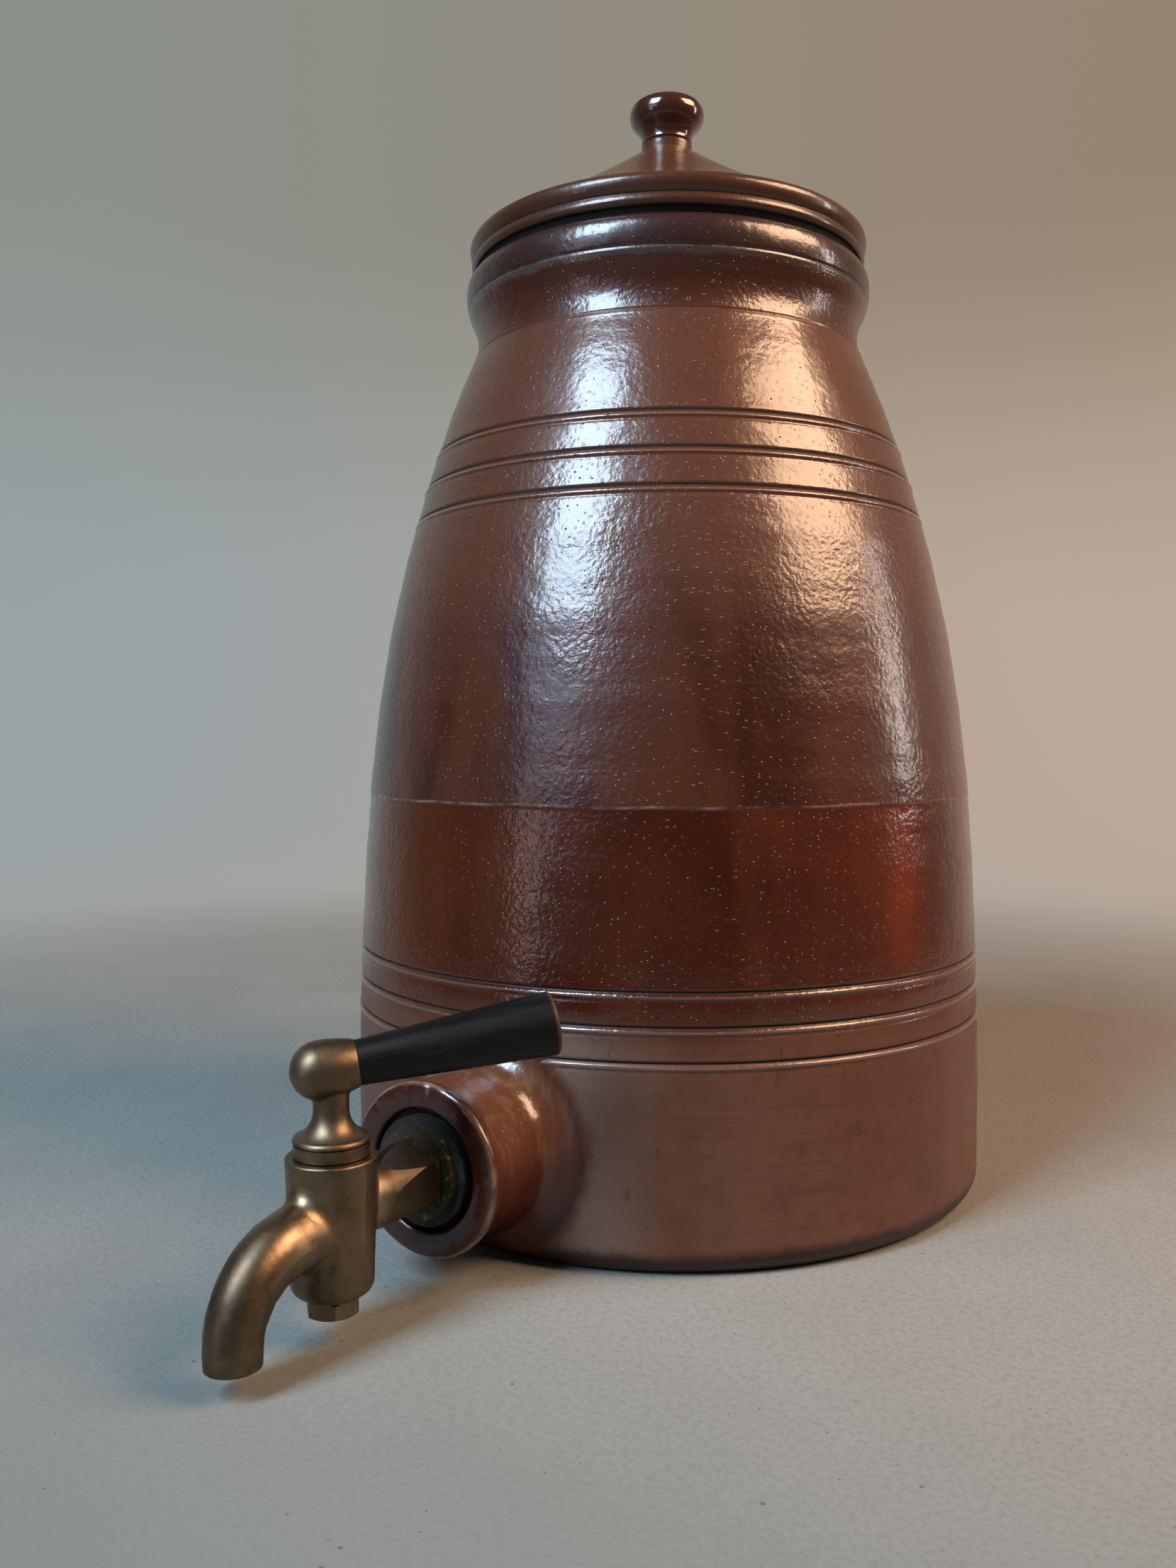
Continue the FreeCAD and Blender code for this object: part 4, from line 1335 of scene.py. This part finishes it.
brassNodes = ("tap_body", "tap_key", "key_washer", "key_nut", "inner_washer", "back_nut")
dress([pot], potGlaze())
dress([cover], lidGlaze())
dress([nodes[name] for name in brassNodes], agedBrass())
dress([nodes["handle_grip"]], ebonyWood())
dress([nodes["handle_rod"]], plainFinish("rodSteel"))
dress([nodes["outer_gasket"], nodes["inner_gasket"]], plainFinish("sealRubber"))
print("finishes set")


# stage and light

stageSizes = {
    "radius": 2.0,
    "sweep": 0.7,
    "height": 2.5,
    "steps": 128,
    "blotches": 70 * mm,
    "grain": 1.6 * mm,
    "coarseGrit": (11 * mm, 0.55 * mm, 0.4),
    "fineGrit": (4 * mm, 0.3 * mm, 0.3),
    "gritShare": 0.7,
    "nearSlant": 0.5,
    "dull": 0.75,
    "specular": 0.2,
}

stageTints = {
    # painted light on the floor: cool on the left, warm on the right
    "floorCoolLit": "8b9490",
    "floorWarmLit": "8d8780",
    "floorBlotch": "767a78",
    "floorGrain": "686562",
    # painted shade on the floor near the camera
    "floorNearShade": "6c7370",
    "grit": "4a4744",
    # painted light on the wall, cool on the left and warm on the right
    "lowLeft": "98a2a5",
    "lowRight": "bca898",
    "highLeft": "8c918a",
    "highRight": "978573",
    # painted shade on the wall in front of the pot and at its top
    "dark": "404144",
}

# where each layer fades, in metres or as a share, from and to
stageFades = {
    "floorSide": (-0.6, 0.6),
    "blotches": (0.35, 0.7, 0, 0.25),
    "grain": (0.4, 0.7, 0, 0.42),
    "near": (-0.07, -0.31, 0, 0.9),
    "wallSide": (-1.0, 1.0),
    "high": (0.3, 1.1),
    "front": (0.75, 0.1),
    "top": (1.5, 2.3),
    "glow": (0.3, 0.85),
}


def stageFade(value, name):
    return eased(value, *stageFades[name])


def floorColour(place, side, depth):
    sizes = stageSizes
    blotches = clouds(place, sizes["blotches"], 3, 0.6)
    grain = clouds(place, sizes["grain"], 3, 0.7)
    near = added(depth, (side, sizes["nearSlant"]))
    coarse = specks(place, *sizes["coarseGrit"])
    grit = maths("MAXIMUM", coarse, specks(place, *sizes["fineGrit"]))
    return layered(
        stageTints, "floorCoolLit",
        # painted cool and warm light
        (stageFade(side, "floorSide"), "floorWarmLit"),
        (stageFade(blotches, "blotches"), "floorBlotch"),
        (stageFade(grain, "grain"), "floorGrain"),
        # painted shade, darker towards the camera and more so on the left
        (stageFade(near, "near"), "floorNearShade"),
        (both(grit, sizes["gritShare"]), "grit"),
    )


def wallColour(side, rise, behind):
    # painted light and shade on the wall: cool to the left and warm to the right, another tint higher up,
    # paler behind the pot than in front of it where it is painted dark, and painted dark at the top
    wallSide = stageFade(side, "wallSide")
    return layered(
        stageTints, "lowLeft",
        (wallSide, "lowRight"),
        (stageFade(rise, "high"), layered(stageTints, "highLeft", (wallSide, "highRight"))),
        (stageFade(behind, "front"), "dark"),
        (stageFade(rise, "top"), "dark"),
    )


def paleFloor():
    # far from the pot the floor glows with its own colour, as painted light, for the eye, for gloss and
    # for what lets light through
    material, place = startFinish("paleFloor")
    tree = material.node_tree
    fromCamera = scaled(place, 1, 1, turn=(0, 0, math.radians(-cameraView["heading"])))
    side, depth, rise = axes(fromCamera)
    away = distance(place, (1, 1, 0))
    finishShader(material, {
        "Base Color": floorColour(place, side, depth),
        "Roughness": stageSizes["dull"],
        "Specular IOR Level": stageSizes["specular"],
    })
    wall = wallColour(side, rise, maths("DIVIDE", depth, away))
    glow = addNode("Emission", {"Color": wall, "Strength": 1.0})
    seen = newNode(tree, "LightPath")
    shown = maths("MAXIMUM", seen.outputs["Is Camera Ray"], seen.outputs["Is Glossy Ray"])
    shown = maths("MAXIMUM", shown, seen.outputs["Is Transmission Ray"])
    share = both(shown, stageFade(away, "glow"))
    shader = tree.nodes["Principled BSDF"].outputs["BSDF"]
    surface = addNode("MixShader", {0: share, 1: shader, 2: glow.outputs["Emission"]})
    setInputs(tree.nodes["Material Output"], {"Surface": surface.outputs[0]})
    return material


def addStage():
    # a round floor that sweeps up into a wall all the way round
    stage = stageSizes
    inner = stage["radius"] - stage["sweep"]
    profile = [(0, 0), (inner / 2, 0), (inner, 0)]
    profile += arcPoints((inner, stage["sweep"]), stage["sweep"], -90, 0, 16)
    profile += [(stage["radius"], stage["height"])]
    floor = turnProfile("floor", profile, stage["steps"])
    dress([floor], paleFloor())


# turn is measured from in front of the pot, in the camera's view of it, and is positive to the right
lampAim = {"height": 150 * mm, "turn": -3.4, "away": 1.3}

lampSizes = {
    "coolKey": {"turn": -40, "rise": 41, "size": (0.42, 0.72), "power": 25, "tint": "cfe8ff"},
    "warmSide": {"turn": 73, "rise": 39, "size": (0.7, 0.65), "power": 23, "tint": "ffd0a8"},
    "lowStrip": {"turn": 95, "rise": 14, "size": (0.06, 0.5), "power": 2.2, "tint": "fff4ea"},
    "lowLeft": {"turn": -48, "rise": -2, "size": (0.12, 0.2), "power": 0.35, "tint": "ffefe0"},
    "coolLow": {"turn": -42, "rise": 16, "size": (0.5, 0.45), "power": 1.4, "tint": "dcdcff"},
}

worldLight = {"tint": "c9cbd0", "strength": 0.1}


def addLamp(name, lamp):
    aim = Vector((0, 0, lampAim["height"]))
    turn = math.radians(cameraView["heading"] + lampAim["turn"] + lamp["turn"])
    rise = math.radians(lamp["rise"])
    out = Vector((math.sin(turn) * math.cos(rise), -math.cos(turn) * math.cos(rise), math.sin(rise)))
    bpy.ops.object.light_add(type="AREA", location=aim + out * lampAim["away"])
    light = bpy.context.object
    light.name = name
    light.rotation_euler = out.to_track_quat("Z", "Y").to_euler()
    light.data.shape = "RECTANGLE"
    light.data.size, light.data.size_y = lamp["size"]
    light.data.energy = lamp["power"]
    light.data.color = colour(lamp["tint"])[:3]
    light.visible_camera = False


def addWorld():
    world = bpy.data.worlds.new("studio")
    world.use_nodes = True
    background = world.node_tree.nodes["Background"]
    background.inputs["Color"].default_value = colour(worldLight["tint"])
    background.inputs["Strength"].default_value = worldLight["strength"]
    bpy.context.scene.world = world


addStage()
for name, lamp in lampSizes.items():
    addLamp(name, lamp)
addWorld()
bpy.context.scene.view_settings.view_transform = "Standard"
print("stage and lamps set")
